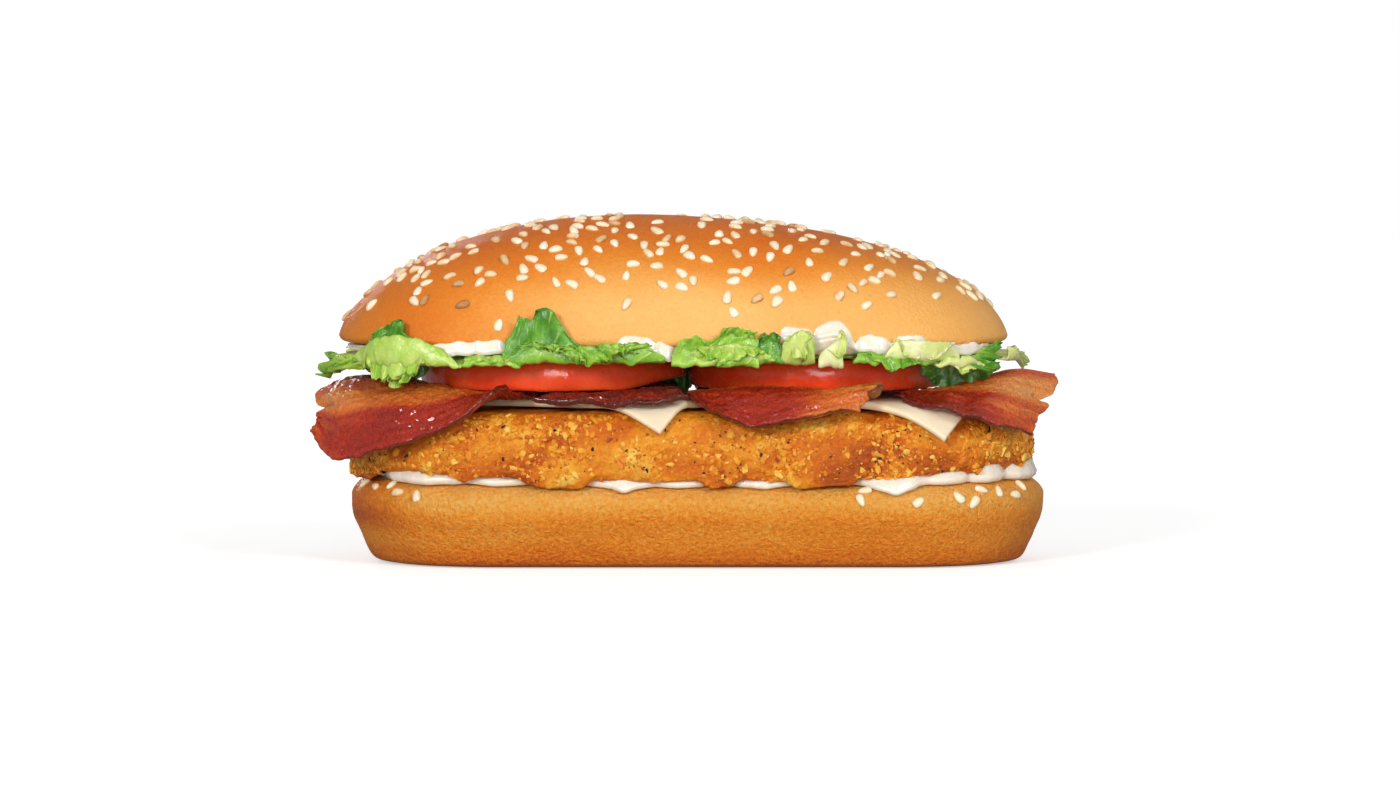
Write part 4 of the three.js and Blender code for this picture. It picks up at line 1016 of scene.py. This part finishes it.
BACON_BACK_RIGHT = [
    [0, 15, FLAT, 14, 17, FLAT, 29, 18, FLAT, 44, 19, FLAT, 58, 21, FLAT],
    [1, 33, FLAT, 15, 36, 42.7, 29, 36.5, 43.2, 43, 36, 43.4, 57, 34, 42.6],
    [2, 38, 41.6, 16, 41.5, 40.2, 29, 43, 39.4, 42, 43.5, 39.6, 56, 40, 40.6],
]


def beside(at, clear):
    """Points moved down to the flat level under the tomatoes, then out of the chicken's shoulder."""
    x, y, z = np.moveaxis(at, -1, 0)
    for slice_ in (TOMATO_LEFT, TOMATO_RIGHT):
        under = smooth(-5, -1, slice_.radius - np.hypot(x - slice_.x, y - slice_.y))
        z = np.minimum(z, mix(z, BACON.flat, under))
    d, nx, ny = distance_to(CHICKEN_SHOULDER, x, y)
    past = np.maximum(d, 0)
    top = chicken_top(x - nx * past)
    reach = CHICKEN.round + clear
    up = np.maximum(0, z - (top - CHICKEN.round))
    away = np.maximum(np.hypot(past, up), 1e-9)
    push = (d > 0) & (away < reach)
    out = np.where(push, past / away * reach - past, 0)
    lifted = top - CHICKEN.round + up / away * reach
    z = np.where(d <= 0, np.maximum(z, top + clear), np.where(push & (up > 0), lifted, z))
    return stack(x + nx * out, y + ny * out, z)


# Each strip: its surface; wave; bands of fat as [place across, width, share] from its back edge to its
# front; how much fatter it gets towards its two ends; how much painted shade darkens it (the middle strip
# lies in shade); notches in its ends as [end, place, depth]
STRIPS = {
    "bacon_left": (
        BACON_LEFT, 0.5, [[0.42, 0.22, 0.42], [0.18, 0.12, 0.2]], (0.14, 0), 0, [[0, 0.42, 4.4]],
    ),
    "bacon_middle": (BACON_MIDDLE, 0.3, [[0.4, 0.12, 0.12]], (0, 0), 0.75, []),
    "bacon_centre": (BACON_CENTRE, 0.35, [[0.3, 0.2, 0.3], [0.6, 0.05, 0.1]], (0, 0.42), 0, []),
    "bacon_right": (
        BACON_RIGHT, 0.45, [[0.34, 0.26, 0.4], [0.72, 0.06, 0.16]], (-0.16, 0.26), 0, [[1, 0.4, 3]],
    ),
    "bacon_back_left": (
        BACON_BACK_LEFT, 0.35, [[0.45, 0.18, 0.45], [0.8, 0.06, 0.2]], (0.1, 0.1), 0, [],
    ),
    "bacon_back_right": (BACON_BACK_RIGHT, 0.3, [[0.5, 0.2, 0.45]], (0.2, 0), 0, []),
}


def make_bacon(name, strip, salt, finish):
    rows, wave, bands, ends, dark, notches = strip
    rows = np.reshape(rows, (3, -1, 3)).astype(float)
    length, width = mean_run(rows, 1), mean_run(rows, 0)
    edge = 0.6
    us = sheet_steps(length, int(length * 2.3), edge)
    vs = sheet_steps(width, int(width * 2.3), edge)
    u, v = np.meshgrid(us, vs)
    sheet = stack(u * length, v * width, salt * 40.0)
    lane = salt * 9.0
    ragged = 0.9 * line_noise(v * width, lane, 0, 3.4, salt) + 0.3 * line_noise(v * width, lane, 5, 1.2, salt)
    at = patch(rows, u, v)
    free = smooth(0.45, 0.8, v)
    at[..., 2] += wave * free * np.sin(u * 19 + 3 * v)
    at[..., 0] += (0.8 * np.sin(7 * v) + ragged) * (smooth(0.8, 1, u) - smooth(0.2, 0, u))
    for end, place, depth in notches:
        near = smooth(0.16, 0, u) if end == 0 else -smooth(0.84, 1, u)
        at[..., 0] += depth * near * bell(v, place, 0.06)
    frill = 0.7 * line_noise(u * length, lane, 2, 4.5, salt)
    frill += 0.22 * line_noise(u * length, lane, 7, 1.4, salt)
    at += unit(np.gradient(at, axis=0)) * (frill * smooth(0.75, 1, v))[..., None]
    on_cheese = BACON.flat - CHICKEN.top
    clear = mix(on_cheese, 1.2, smooth(-66, -74, at[..., 0])) if name == "bacon_left" else on_cheese
    mid = beside(at, clear)
    half = BACON.thick / 2 * rounded(us, vs, length, width, edge)
    streak = noise(sheet, (9, 1.6, 9), salt + 50)
    ripple = 0.36 * noise(sheet, (7, 2.2, 9), salt + 51) + 0.3 * noise(sheet, (1.7, 1.2, 9), salt + 52)
    ripple = (ripple + 0.14 * noise(sheet, (0.9, 0.7, 9), salt + 54)) * smooth(0, 0.06, v)
    fat = 0.2 + 0.14 * streak + ends[0] * smooth(0.4, 0.05, u) + ends[1] * smooth(0.5, 0.85, u)
    drift = 0.05 * noise(sheet, (22, 60, 60), salt + 53)
    for place, wide, share in bands:
        fat += share * smooth(wide, wide * 0.45, np.abs(v + drift + 0.03 * streak - place))
    # charred near the border; the dark value adds painted shade over the whole strip
    crisp_and_shade = 1 - rounded(us, vs, length, width, 2.2) + dark
    points, faces, order = sheet_mesh(mid, ripple - half, ripple + half)
    values = {"fat": fat.ravel()[order], "crisp_and_shade": crisp_and_shade.ravel()[order]}
    piece(name + "_strip", points, [faces], finish, [name], values)


# Tomato
def make_tomato(node, place, salt, finish):
    angle = way_round(AROUND.tomato) * 2 * math.pi
    half = TOMATO.thick / 2
    rim = place.radius - TOMATO.edge
    flat = (0.3, 0.6, 0.85, 0.96)
    profile = [(k, -1, 0.0) for k in flat]
    profile += [(1, math.sin(a), math.cos(a)) for a in angles(-84, 84, 22)]
    profile += [(k, 1, 0.0) for k in flat[::-1]]
    rings, skins = [], []
    wobble = 0.55 * noise(stack(np.cos(angle) * 20, np.sin(angle) * 20, salt * 9.0), 14, salt)
    for k, side, bulge in profile:
        r = rim * k if bulge == 0 else rim + TOMATO.edge * bulge**0.5
        r = r + wobble * k - 0.2 * k
        dx, dy = r * np.cos(angle), r * np.sin(angle)
        raised = place.lift * smooth(0.45 * place.radius, place.radius, dx) * max(0, -side)
        at = stack(place.x + dx, place.y + dy, TOMATO.bottom + half + side * half + raised)
        at[:, 2] += 0.14 * noise(at, 7, salt + 1) * (1 if abs(side) < 1 else 0.4)
        rings.append(at)
        skins.append(np.full(len(angle), float(smooth(0.05, 0.35, bulge))))
    ring_piece(node + "_slice", np.stack(rings), finish, [node], "tomato", skin=np.stack(skins))


# Mayonnaise
# Each drip: place along the bun, half width and how deep it hangs
LOWER_DRIPS = [
    [-66, 9, 4.6], [-49, 8, 3.2], [-18, 8, 5.6], [-5, 7, 4], [16, 7, 4.6],
    [48, 8, 6.8], [60, 6, 3.4], [70, 5, 3.4], [79, 5, 3.8],
]
UPPER_DRIPS = [
    [-60, 8, 2.2], [-50, 6, 2.4], [-16, 6, 2.4], [25, 8, 3.4], [43, 7, 2.8], [54, 6, 2], [69, 6, 2.6],
]


def drip_at(drips, q):
    """How deep the drips hang at points of an outline.

    The back has those of the front mirrored, and they merge at the two ends.
    """
    deepest = []
    for x in (q[..., 0], -q[..., 0]):
        deepest.append(np.max([depth * bell(x, at, width) for at, width, depth in drips], axis=0))
    return mix(*deepest, smooth(-9, 9, q[..., 1]))


def make_lower_mayo(finish):
    t = way_round(AROUND.lower)
    q, _ = outline(HEEL_SHOULDER, t)
    start = -MAYO.lower_inset - 1
    reach = drip_at(LOWER_DRIPS, q) - MAYO.lower_inset
    reach = reach + 0.5 * noise(stack(q[:, 0], q[:, 1], 0), 3.2, 61) * smooth(-1.4, 0.5, reach)
    full = MAYO.thick * mix(1, 0.85, smooth(-1, 2, reach))
    over = MAYO.bulge * smooth(-1, 3, reach)
    reach = reach + 1.1 * bell(reach, 0.4, 1.6)
    bead = mix(2.2, 3.6, smooth(48, 70, np.abs(q[:, 0]))) * smooth(-0.8, 1.2, reach)
    inner = (0.3, 0.6, 0.85)
    rings = [scaled(q, k, heel_top(q[:, 0] * k) + GAP) for k in inner]
    for run in (-1, -0.7, -0.4, -0.15, -0.03):
        rings.append(over_heel(t, mix(start, reach, 1 + run), GAP * 0.4 + over * 0.3))
    for angle in angles(-70, 80, 9):
        lift = GAP * 0.4 + over + (full + 0.5 * bead) * (0.48 + 0.46 * math.sin(angle))
        rings.append(over_heel(t, reach + 0.55 * math.cos(angle) * smooth(-1.5, 1, reach), lift))
    for run in (-0.06, -0.14, -0.25, -0.4, -0.6, -0.8, -1):
        swell = bead * bell(run, -0.2, 0.22)
        rings.append(over_heel(t, mix(start, reach, 1 + run), GAP * 0.4 + over + full + swell))
    rings += [scaled(q, k, heel_top(q[:, 0] * k) + GAP + MAYO.thick) for k in inner[::-1]]
    rings = np.stack(rings)
    rings += 0.1 * noise(rings, 3, 62)[..., None] * np.array([0, 0, 1.0])
    ring_piece("mayo_lower_smear", rings, finish, ["mayo_lower"], "mayonnaise")


# Where the upper mayonnaise shows: place along the bun, half length, the height it climbs to, the height
# it hangs down to, and how far out it stands
SMEARS = [
    [-60, 7, 55.6, 52.2, 0.6], [-51, 5, 56, 52.6, 0.8], [-15, 6, 56.8, 53, 0.6],
    [-8, 2.4, 54.6, 50.4, 1.3], [24, 5, 59, 56.6, 0.4], [33, 6, 60.4, 56.4, 0.6],
    [43, 5, 57, 52.6, 0.9], [52, 5, 57, 54.4, 0.5], [66, 6, 55.4, 53.4, 0.5], [67, 2.4, 54.6, 50.8, 1.2],
]


def smeared(q):
    """How much the upper mayonnaise shows round an outline, how high, how low and how far out it comes."""
    x = np.where(q[:, 1] < 0, q[:, 0], -q[:, 0])
    shares = np.stack([smooth(0.04, 0.96, bell(x, at, 1.25 * half)) for at, half, *_ in SMEARS])
    shown = shares.max(axis=0)
    weight = shares / np.maximum(shares.sum(axis=0), 1e-6)
    climb, hang, stand = [sum(w * row[column] for w, row in zip(weight, SMEARS)) for column in (2, 3, 4)]
    flat = scaled(q, 1, 0)
    wander = noise(flat, 2.6, 71) + 1.2 * noise(flat, 6, 72)
    climb = mix(CROWN.lip - 0.5, climb + 0.6 * wander, shown)
    hang = mix(MAYO.upper_low + 0.3, hang + 0.5 * wander, shown)
    return shown, climb, hang, mix(-2.4, stand, shown)


def crown_side(z):
    """How far the crown's side stands in from its outline at a height."""
    high = np.clip((z - CROWN.base) / (CROWN.top - CROWN.base), 0.05, 1)
    return -(1 - np.sqrt(1 - high**2)) * 40


def make_upper_mayo(finish):
    t = way_round(AROUND.upper)
    q, n = outline(CROWN, t)
    shown, climb, hang, stand = smeared(q)
    top = CROWN.lip - GAP
    middle = mix(hang, climb, 0.5)
    top_off = mix(-2.6, crown_side(climb), shown)
    profile = [
        (-12, MAYO.upper_low),
        (-7, MAYO.upper_low),
        (mix(-4.0, -2.2, shown), MAYO.upper_low - 0.1),
        (mix(-3.0, 0.2, shown), mix(MAYO.upper_low, hang, 0.75)),
        (stand * 0.75 - 0.15, hang),
        (stand, mix(hang, middle, 0.45)),
        (mix(stand, crown_side(middle) + stand * 0.8, 0.7), middle),
        (mix(stand, top_off + 0.5 * shown, 0.8), mix(middle, climb, 0.6)),
        (top_off + 0.2 * shown, climb),
        (top_off - 0.9, climb - 0.2),
        (mix(-4.0, -3.4, shown), mix(top, CROWN.lip + 0.6, shown)),
        (-7, top),
        (-12, top),
    ]
    control = np.stack([offset(q, n, off, z) for off, z in profile])
    rings = np.stack([spline(control, np.full_like(t, s)) for s in np.linspace(0, 1, 44)])
    low = [scaled(q, k, MAYO.upper_low, CROWN.cx) for k in (0.3, 0.6)]
    high = [scaled(q, k, top, CROWN.cx) for k in (0.6, 0.3)]
    rings = np.concatenate([np.stack(low), rings, np.stack(high)])
    ring_piece("mayo_upper_smear", rings, finish, ["mayo_upper"], "mayonnaise")


# Lettuce
def upper_reach(q):
    return MAYO.swell * smooth(0.3, 1.6, drip_at(UPPER_DRIPS, q)) - MAYO.upper_inset


# Front leaves: three places x, z of the near row, three of the far row, how far the far row stands out
# and its ruffle, then for the looks the tone at root and at tip from pale to deep green, the frill's
# depth and its waves
FRONT_LEAVES = [
    (-79, 51, -72.5, 50.6, -66, 50.8, -78.5, 47.5, -72, 44.6, -66.5, 46.8, 2, 0.6, 0.4, 0.52, 0.9, 4),
    (13.5, 54, 17.5, 55.5, 21.5, 54, 13.8, 56.5, 18, 58, 21.8, 56.4, 1.4, 0.5, 0.75, 0.9, 0.5, 3),
    (-84, 50.2, -73, 57.2, -57, 52, -85, 46.6, -72.6, 46.4, -57.4, 50, 3.4, 0.5, 0.4, 0.5, 0.3, 3),
    (-88, 51.5, -84, 51, -77, 50.6, -92, 52.2, -88, 47.4, -77, 45.8, 4.2, 1, 0.5, 0.62, 1, 4),
    (-80, 54.6, -74.5, 55.4, -68.6, 54.4, -79.4, 55.8, -73.6, 60.6, -68.6, 57.2, 1.6, 0.8, 0.7, 0.85, 0.7, 3),
    (-57, 52.2, -50.5, 52.2, -43, 51.6, -57.6, 51.2, -50.5, 50.8, -42, 50.4, 2.4, 0.2, 0.5, 0.6, 0.3, 3),
    (-47.4, 54.4, -38, 53.6, -27, 54.4, -45.4, 61.4, -38.4, 64.2, -31, 58.6, 2.2, 0.8, 0.74, 0.8, 0.4, 2),
    (-46.4, 55.4, -28, 54.4, -7.8, 55.6, -45.4, 53, -24, 51.2, -7.4, 53.4, 4.6, 0.9, 0.62, 0.66, 0.9, 7),
    (-6.4, 53.8, 4.3, 54, 15, 57.6, -6.6, 56.6, 5.2, 58.4, 15.6, 60.2, 2, 0.7, 0.5, 0.62, 0.6, 4),
    (-3, 53, 8, 56, 19, 52.6, -5, 51.6, 8, 51.2, 19.4, 51.8, 5, 0.5, 0.4, 0.55, 0.6, 4),
    (20.4, 55, 24.6, 59.4, 28.6, 57, 20.2, 52.8, 25, 52, 29.2, 52.4, 6, 0.4, 0.3, 0.42, 0.5, 3),
    (29.4, 53, 33, 56, 35.4, 60, 30.6, 50.6, 35.4, 54, 38.8, 58.4, 4.6, 0.3, 0.08, 0.3, 0.35, 2),
    (45, 56, 54, 56.4, 63, 55.2, 44.4, 53.2, 53.6, 51.8, 63, 51.6, 5, 0.2, 0.12, 0.2, 0.2, 2),
    (37.8, 53.4, 47, 52.4, 57, 51.8, 37.8, 51.4, 47, 49.2, 55.6, 48.8, 3.4, 0.4, 0.65, 0.7, 0.35, 3),
    (57, 51, 63, 51, 68.5, 50.2, 57, 49.2, 63, 48.6, 69.6, 48.2, 2.8, 0.3, 0.2, 0.3, 0.3, 2),
    (69.6, 54.2, 66.4, 52.2, 64.8, 50, 73.8, 55.6, 71.4, 51, 68.6, 46.6, 4.4, 0.6, 0.6, 0.78, 0.7, 4),
    (74.2, 53.4, 76, 53, 77.2, 51.6, 74.6, 51.4, 78, 48.6, 80.4, 47.4, 4, 0.4, 0.15, 0.25, 0.3, 2),
]
RULED_PLACES = [0.01, 0.065, 0.12, 0.165, 0.21, 0.255, 0.3, 0.345, 0.39, 0.435]
SHORT_LEAF, SHORT_SHARE = 21, 0.6  # one leaf is cut short
BROAD = (4, 6, 8, 15)  # standing leaves that keep their width
# Leaves that are mostly rib: how far they arch
RIBS = {2: 1, 9: 0.8, 10: 1.8, 11: 1.2, 12: 1.3, 14: 0.8, 16: 1}
# Leaves that hang from the bed in the open places between and beside the tomato slices: y, the row of x
# at the bed, the row of x at the free edge, how low it hangs, its ruffle and the tones at root and tip
# Most are deep green: dark sheets put in the gaps as painted shade of the sandwich's shaded inside, partly
# standing for lettuce that shows there
INNER_LEAVES = [
    (26, [-14, -5, 4], [-15, -5, 5], 44, 0.4, 0.8, 0.9),
    (2, [-82, -77, -72], [-87, -79, -71], 46.6, 0.6, 0.4, 0.7),
    (-4, [66.5, 69, 71.5], [67, 72.5, 79], 46.2, 0.6, 0.3, 0.6),
    (-19, [60.5, 66, 71], [60, 66, 72], 44.8, 0.5, 0.8, 0.95),
    (-12, [-82, -76, -70], [-84, -77, -70], 45.6, 0.5, 0.8, 0.95),
    (28, [-17, -6, 5], [-18, -6, 6], 42.9, 0.3, 0.8, 0.95),
    (16, [-7, -3.4, 0.2], [-6, -3.6, -1.4], 40.4, 0.1, 0.85, 0.95),
    (-22, [-78, -72, -66.5], [-80, -72, -66], 45, 0.4, 0.85, 0.98),
    (-24, [55, 63, 71], [55, 63, 73], 43.6, 0.4, 0.85, 0.98),
]


LEAF_CLEAR = LETTUCE.leaf / 2 + GAP


def front_edge(x):
    """The share round the crown's outline of its front point at x."""
    low, high = 0.5, 1.0
    for _ in range(24):
        half = (low + high) / 2
        if outline(CROWN, half)[0][0] < x:
            low = half
        else:
            high = half
    return low


def off_edge(t, out, z):
    """A point off the crown's outline, outside the mayonnaise if it lies out there."""
    q, n = outline(CROWN, t)
    if out >= 0:
        out = max(out, float(upper_reach(q)) + LEAF_CLEAR, LEAF_CLEAR)
    return [q[0] + n[0] * out, q[1] + n[1] * out, z]


def front_leaves():
    """Rows of control points, ruffle and looks of each front leaf."""
    leaves = []
    for i, leaf in enumerate(FRONT_LEAVES):
        near, far = np.reshape(leaf[:12], (2, 3, 2))
        out, ruffle, *looks = leaf[12:]
        outer = i % 3 * LETTUCE.step
        edge = LEAF_CLEAR + outer
        rows = [
            [off_edge(front_edge(x), -9, LETTUCE.root) for x, _ in near],
            [off_edge(front_edge(x), edge, LETTUCE.root - outer) for x, _ in near],
            [off_edge(front_edge(x), max(edge, 0.6 * out), z) for x, z in near],
            [off_edge(front_edge(x), out + outer, z) for x, z in far],
        ]
        leaves.append((rows, ruffle, looks))
    return leaves


def ruled_leaves():
    """The same of each leaf at the ends and the back, as the part's source draws them."""
    random = random_stream(21)
    leaves = []
    for i, t in enumerate(RULED_PLACES):
        half = 0.016 + 0.01 * random()
        climbs = i % 3 == 1
        out = LEAF_CLEAR + 1 if climbs else 3 + 3 * random()
        rise = 5 + 3 * random() if climbs else -2 - 2 * random()

        def row(off, z):
            sides = []
            for side in (-1, 0, 1):
                droop = 0
                if off >= 0:
                    droop = np.sign(rise) * abs(side) * (0.4 + random()) * min(1, off - LEAF_CLEAR)
                sides.append(off_edge((t + side * half + 1) % 1, off, z - droop))
            return sides

        outer = i % 2 * LETTUCE.step
        rows = [
            row(-9, LETTUCE.root),
            row(LEAF_CLEAR + outer, LETTUCE.root - outer),
            row(mix(LEAF_CLEAR, out, 0.5) + outer, LETTUCE.root + 0.45 * rise),
            row(out, LETTUCE.root + rise),
        ]
        ruffle = 0.3 + 0.4 * random()
        looks = [(0.2, 0.5, 0.65)[i % 3], (0.45, 0.65, 0.85)[(i + 1) % 3], 0.7, 4]
        leaves.append((rows, ruffle, looks))
    return leaves


def inner_leaves():
    """The same of each leaf that hangs from the bed."""
    leaves = []
    for y, top, free, low, ruffle, *tones in INNER_LEAVES:
        def across(xs, start, z):
            return [[x, y - start * np.sign(y) + 1.2 * (i % 2), z] for i, x in enumerate(xs)]

        rows = [
            across(top, 4, LETTUCE.root),
            across(top, 0.4, LETTUCE.root - 0.5),
            across([mix(x, free[i], 0.4) for i, x in enumerate(top)], 0, mix(LETTUCE.root, low, 0.45)),
            across(free, 0, low),
        ]
        leaves.append((rows, ruffle, [*tones, 0.5, 3]))
    return leaves


def veins(u, v, salt):
    """A rib up the middle of a leaf and branches that leave it, from 0 to 1."""
    middle = u - 0.5 + 0.05 * np.sin(5 * v + salt)
    rib = bell(middle, 0, 0.035) * smooth(1.05, 0.5, v)
    way = np.abs(middle) * 1.7 - v + 0.02 * np.sin(23 * v + salt)
    branch = bell(np.mod(way * 4.5 + 0.1 * salt, 1), 0.5, 0.09) * smooth(0.02, 0.12, np.abs(middle))
    return np.clip(rib + 0.8 * branch, 0, 1)


def leaf_cut(index, u, v, width, length):
    """Where the points of a leaf's sheet lie on its rows: across, and down to its toothed free edge."""
    lane = index * 7.0
    teeth = 0.9 * line_noise(u * width, lane, 0, 4.5, 80) + 0.5 * line_noise(u * width, lane, 0, 2.2, 81)
    teeth += 0.3 * line_noise(u * width, lane, 3, 0.9, 82)
    toothed = 0.19 if index in BROAD or index in RIBS else 0.12
    tip = 1 - LETTUCE.tip * np.abs(2 * u - 1) ** 3 + toothed * teeth * smooth(0.5, 1, v)
    share = SHORT_SHARE if index == SHORT_LEAF else 1
    third = 1 / 3
    down = np.where(v <= third, v, third + (v - third) * share * np.minimum(tip, 1.04))
    taper = 0.02 if index in BROAD else 0.3
    taper = (taper + 0.2 * line_noise(v * length, index * 5.0, 1, 2.2, 89)) * smooth(0.4, 1, v)
    return 0.5 + (u - 0.5) * (1 - taper * (not hangs_inside(index))), down


def hangs_inside(index):
    return index >= len(FRONT_LEAVES) + len(RULED_PLACES)


def make_leaf(index, rows, ruffle, looks):
    root_tone, tip_tone, frill, waves = looks
    table = np.array(rows, float)
    width, length = mean_run(table[1:], 1), mean_run(table, 0)
    edge = 0.3
    us = sheet_steps(width, int(np.clip(width * 2, 17, 54)), edge)
    vs = sheet_steps(length, int(np.clip(length * 1.6, 20, 31)), edge)
    u, v = np.meshgrid(us, vs)
    place = stack(u * width, v * length, index * 31.0)
    across, down = leaf_cut(index, u, v, width, length)
    mid = patch(rows, across, np.clip(down, 0, 1))
    free = smooth(0.4, 1, down)
    mid[..., 2] += ruffle * np.sin(11 * u) * free
    lane = index * 11.0
    fold = 0.9 * line_noise(u * width, lane, 0, 4, 90) + 0.6 * line_noise(u * width, lane, 4, 1.7, 91)
    mid[..., 2] += (1.1 * fold - 0.5) * bell(down, 0.45, 0.16) * (not hangs_inside(index))
    normals = grid_normals(mid)
    phase = 2 * math.pi * waves * (u + (0.05 + 0.09 * free) * noise(place, (3.4, 3.4, 9), 83)) + index
    curl = 1.5 * frill * free**1.5 * np.sin(phase) + 0.45 * frill * free**2 * np.sin(2.7 * phase + 1)
    crinkle = 0.45 * free * noise(place, (3.6, 3.6, 9), 92)
    crinkle += 0.4 * free * noise(place, (1.8, 1.8, 9), 84) * (0.3 + frill)
    bulge = RIBS.get(index, 0) * (1 - (2 * u - 1) ** 2) * smooth(0.2, 0.6, down)
    mid += normals * (curl + crinkle * (0.4 if index in RIBS else 1) + bulge)[..., None]
    half = (0.36 - 0.16 * free) * rounded(us, vs, width, length, edge)
    points, faces, order = sheet_mesh(mid, -half, half)
    tone = mix(root_tone, tip_tone, smooth(0.35, 0.95, down)) + 0.12 * noise(place, (5, 7, 9), 85)
    # the tone follows the curl's waves: painted shade in its folds
    tone += 0.07 * free * np.sin(phase)
    vein = veins(u, v, index) * smooth(0.15, 0.4, tone)
    return points, faces, {"tone": tone.ravel()[order], "vein": vein.ravel()[order]}


def make_lettuce(finish):
    laid = front_leaves() + ruled_leaves() + inner_leaves()
    leaves = [make_leaf(i, rows, ruffle, looks) for i, (rows, ruffle, looks) in enumerate(laid)]
    points, faces, values = joined(leaves)
    piece("lettuce_leaves", points, faces, finish, ["lettuce"], values)
    t = way_round(AROUND.bed)
    q, n = outline(inset(CROWN, 6.5), t)
    uneven = 1.4 * noise(scaled(q, 1, 0), 5, 86)
    rings = []
    for z, shares in ((LETTUCE.low, (0.3, 0.6, 0.9, 1)), (LETTUCE.high, (1, 0.9, 0.6, 0.3))):
        for k in shares:
            ring = offset(scaled(q, k, z, CROWN.cx), n, uneven * (k == 1), z)
            ring[:, 2] += 0.25 * noise(ring, 4, 87)
            rings.append(ring)
    rings = np.stack(rings)
    tone = 0.6 + 0.2 * noise(rings, 8, 88)
    ring_piece("lettuce_bed", rings, finish, ["lettuce"], "lettuce", tone=tone, vein=0 * tone)


# Camera: the photograph's viewing angle, from far off
CAMERA = Form(target=(0.6, 0, 41.3), elevation=math.radians(2.5), distance=1600, lens=164.57, sensor=36)


def in_frame(point):
    return Vector((np.array(point, float) + SHIFT) * MM)


def make_camera():
    data = bpy.data.cameras.new("camera")
    data.lens = CAMERA.lens
    data.sensor_width = CAMERA.sensor
    data.clip_end = 50
    made = placed("camera", data)
    back = Vector((0, -math.cos(CAMERA.elevation), math.sin(CAMERA.elevation)))
    made.location = in_frame(CAMERA.target) + back * CAMERA.distance * MM
    made.rotation_euler = (-back).to_track_quat("-Z", "Y").to_euler()
    bpy.context.scene.camera = made


# Light and floor
# Each light: azimuth from the camera's side and elevation in degrees, strength, and spread in degrees
LIGHTS = {
    "key_left": (-24, 16, 1.45, 12),
    "key_right": (32, 24, 1.0, 16),
    "fill_front": (3, 2, 1.0, 20),
    "rim_back": (-167, 13, 0.3, 9),
}
WORLD_STRENGTH = 0.34
FLOOR = Form(radius=4000, below=0.2, glow=0.5, bounce=0.72)


def make_lights():
    for name, (azimuth, elevation, strength, spread) in LIGHTS.items():
        data = bpy.data.lights.new(name, "SUN")
        data.energy = strength
        data.angle = math.radians(spread)
        made = placed(name, data)
        a, e = math.radians(azimuth), math.radians(elevation)
        towards = Vector((math.sin(a) * math.cos(e), -math.cos(a) * math.cos(e), math.sin(e)))
        made.rotation_euler = towards.to_track_quat("Z", "Y").to_euler()


def make_world():
    """White to look at, a dimmer even light on the object."""
    world = bpy.data.worlds.new("studio")
    world.use_nodes = True
    bpy.context.scene.world = world
    tree = world.node_tree
    seen = tree.nodes.new("ShaderNodeLightPath").outputs["Is Camera Ray"]
    strength = tree.nodes.new("ShaderNodeMapRange")
    strength.inputs["To Min"].default_value = WORLD_STRENGTH
    strength.inputs["To Max"].default_value = 1.0
    tree.links.new(seen, strength.inputs["Value"])
    background = tree.nodes["Background"]
    background.inputs["Color"].default_value = (1, 1, 1, 1)
    tree.links.new(strength.outputs["Result"], background.inputs["Strength"])


def make_floor():
    angle = way_round(AROUND.floor) * 2 * math.pi
    points = stack(FLOOR.radius * np.cos(angle), FLOOR.radius * np.sin(angle), -FLOOR.below) * MM
    mesh = bpy.data.meshes.new("floor")
    mesh.from_pydata(points.tolist(), [], [list(range(len(points)))])
    f = Finish("floor", specular_ior_level=0.1)
    pale = f.ramp(f.noise(60, 2), (0.3, [0.965] * 3), (0.7, [0.97] * 3))
    seen = f.add("LightPath").outputs["Is Camera Ray"]
    base = f.blend(seen, colour(*[FLOOR.bounce] * 3), pale)
    f.feed(f.shader.inputs["Emission Color"], (1, 1, 1, 1))
    f.feed(f.shader.inputs["Emission Strength"], f.times(seen, FLOOR.glow))
    mesh.materials.append(f.finish(base, f.patchy(8, 0.7, 0.8, 2), (f.noise(2, 2), 0.005)))
    floor = placed("floor", mesh)


def main():
    seed = seed_finish()
    make_crown(crust_finish("crown_crust"))
    make_seeds("crown_seeds", *crown_seed_places(), seed, "bun_top")
    make_heel(crust_finish("heel_crust"))
    make_heel_seeds(seed)
    make_chicken(breading_finish(), crumb_finish(), pepper_finish())
    cheese = cheese_finish()
    make_cheese("cheese_left", CHEESE_LEFT, CHEESE_RIGHT, False, cheese)
    make_cheese("cheese_right", CHEESE_RIGHT, CHEESE_LEFT, True, cheese)
    bacon = bacon_finish()
    for salt, (name, strip) in enumerate(STRIPS.items(), 1):
        make_bacon(name, strip, salt, bacon)
    tomato = tomato_finish()
    make_tomato("tomato_left", TOMATO_LEFT, 21, tomato)
    make_tomato("tomato_right", TOMATO_RIGHT, 24, tomato)
    mayo = mayo_finish()
    make_lower_mayo(mayo)
    make_upper_mayo(mayo)
    make_lettuce(leaf_finish())
    make_camera()
    make_lights()
    make_world()
    make_floor()
    bpy.context.scene.view_settings.view_transform = "Standard"


main()
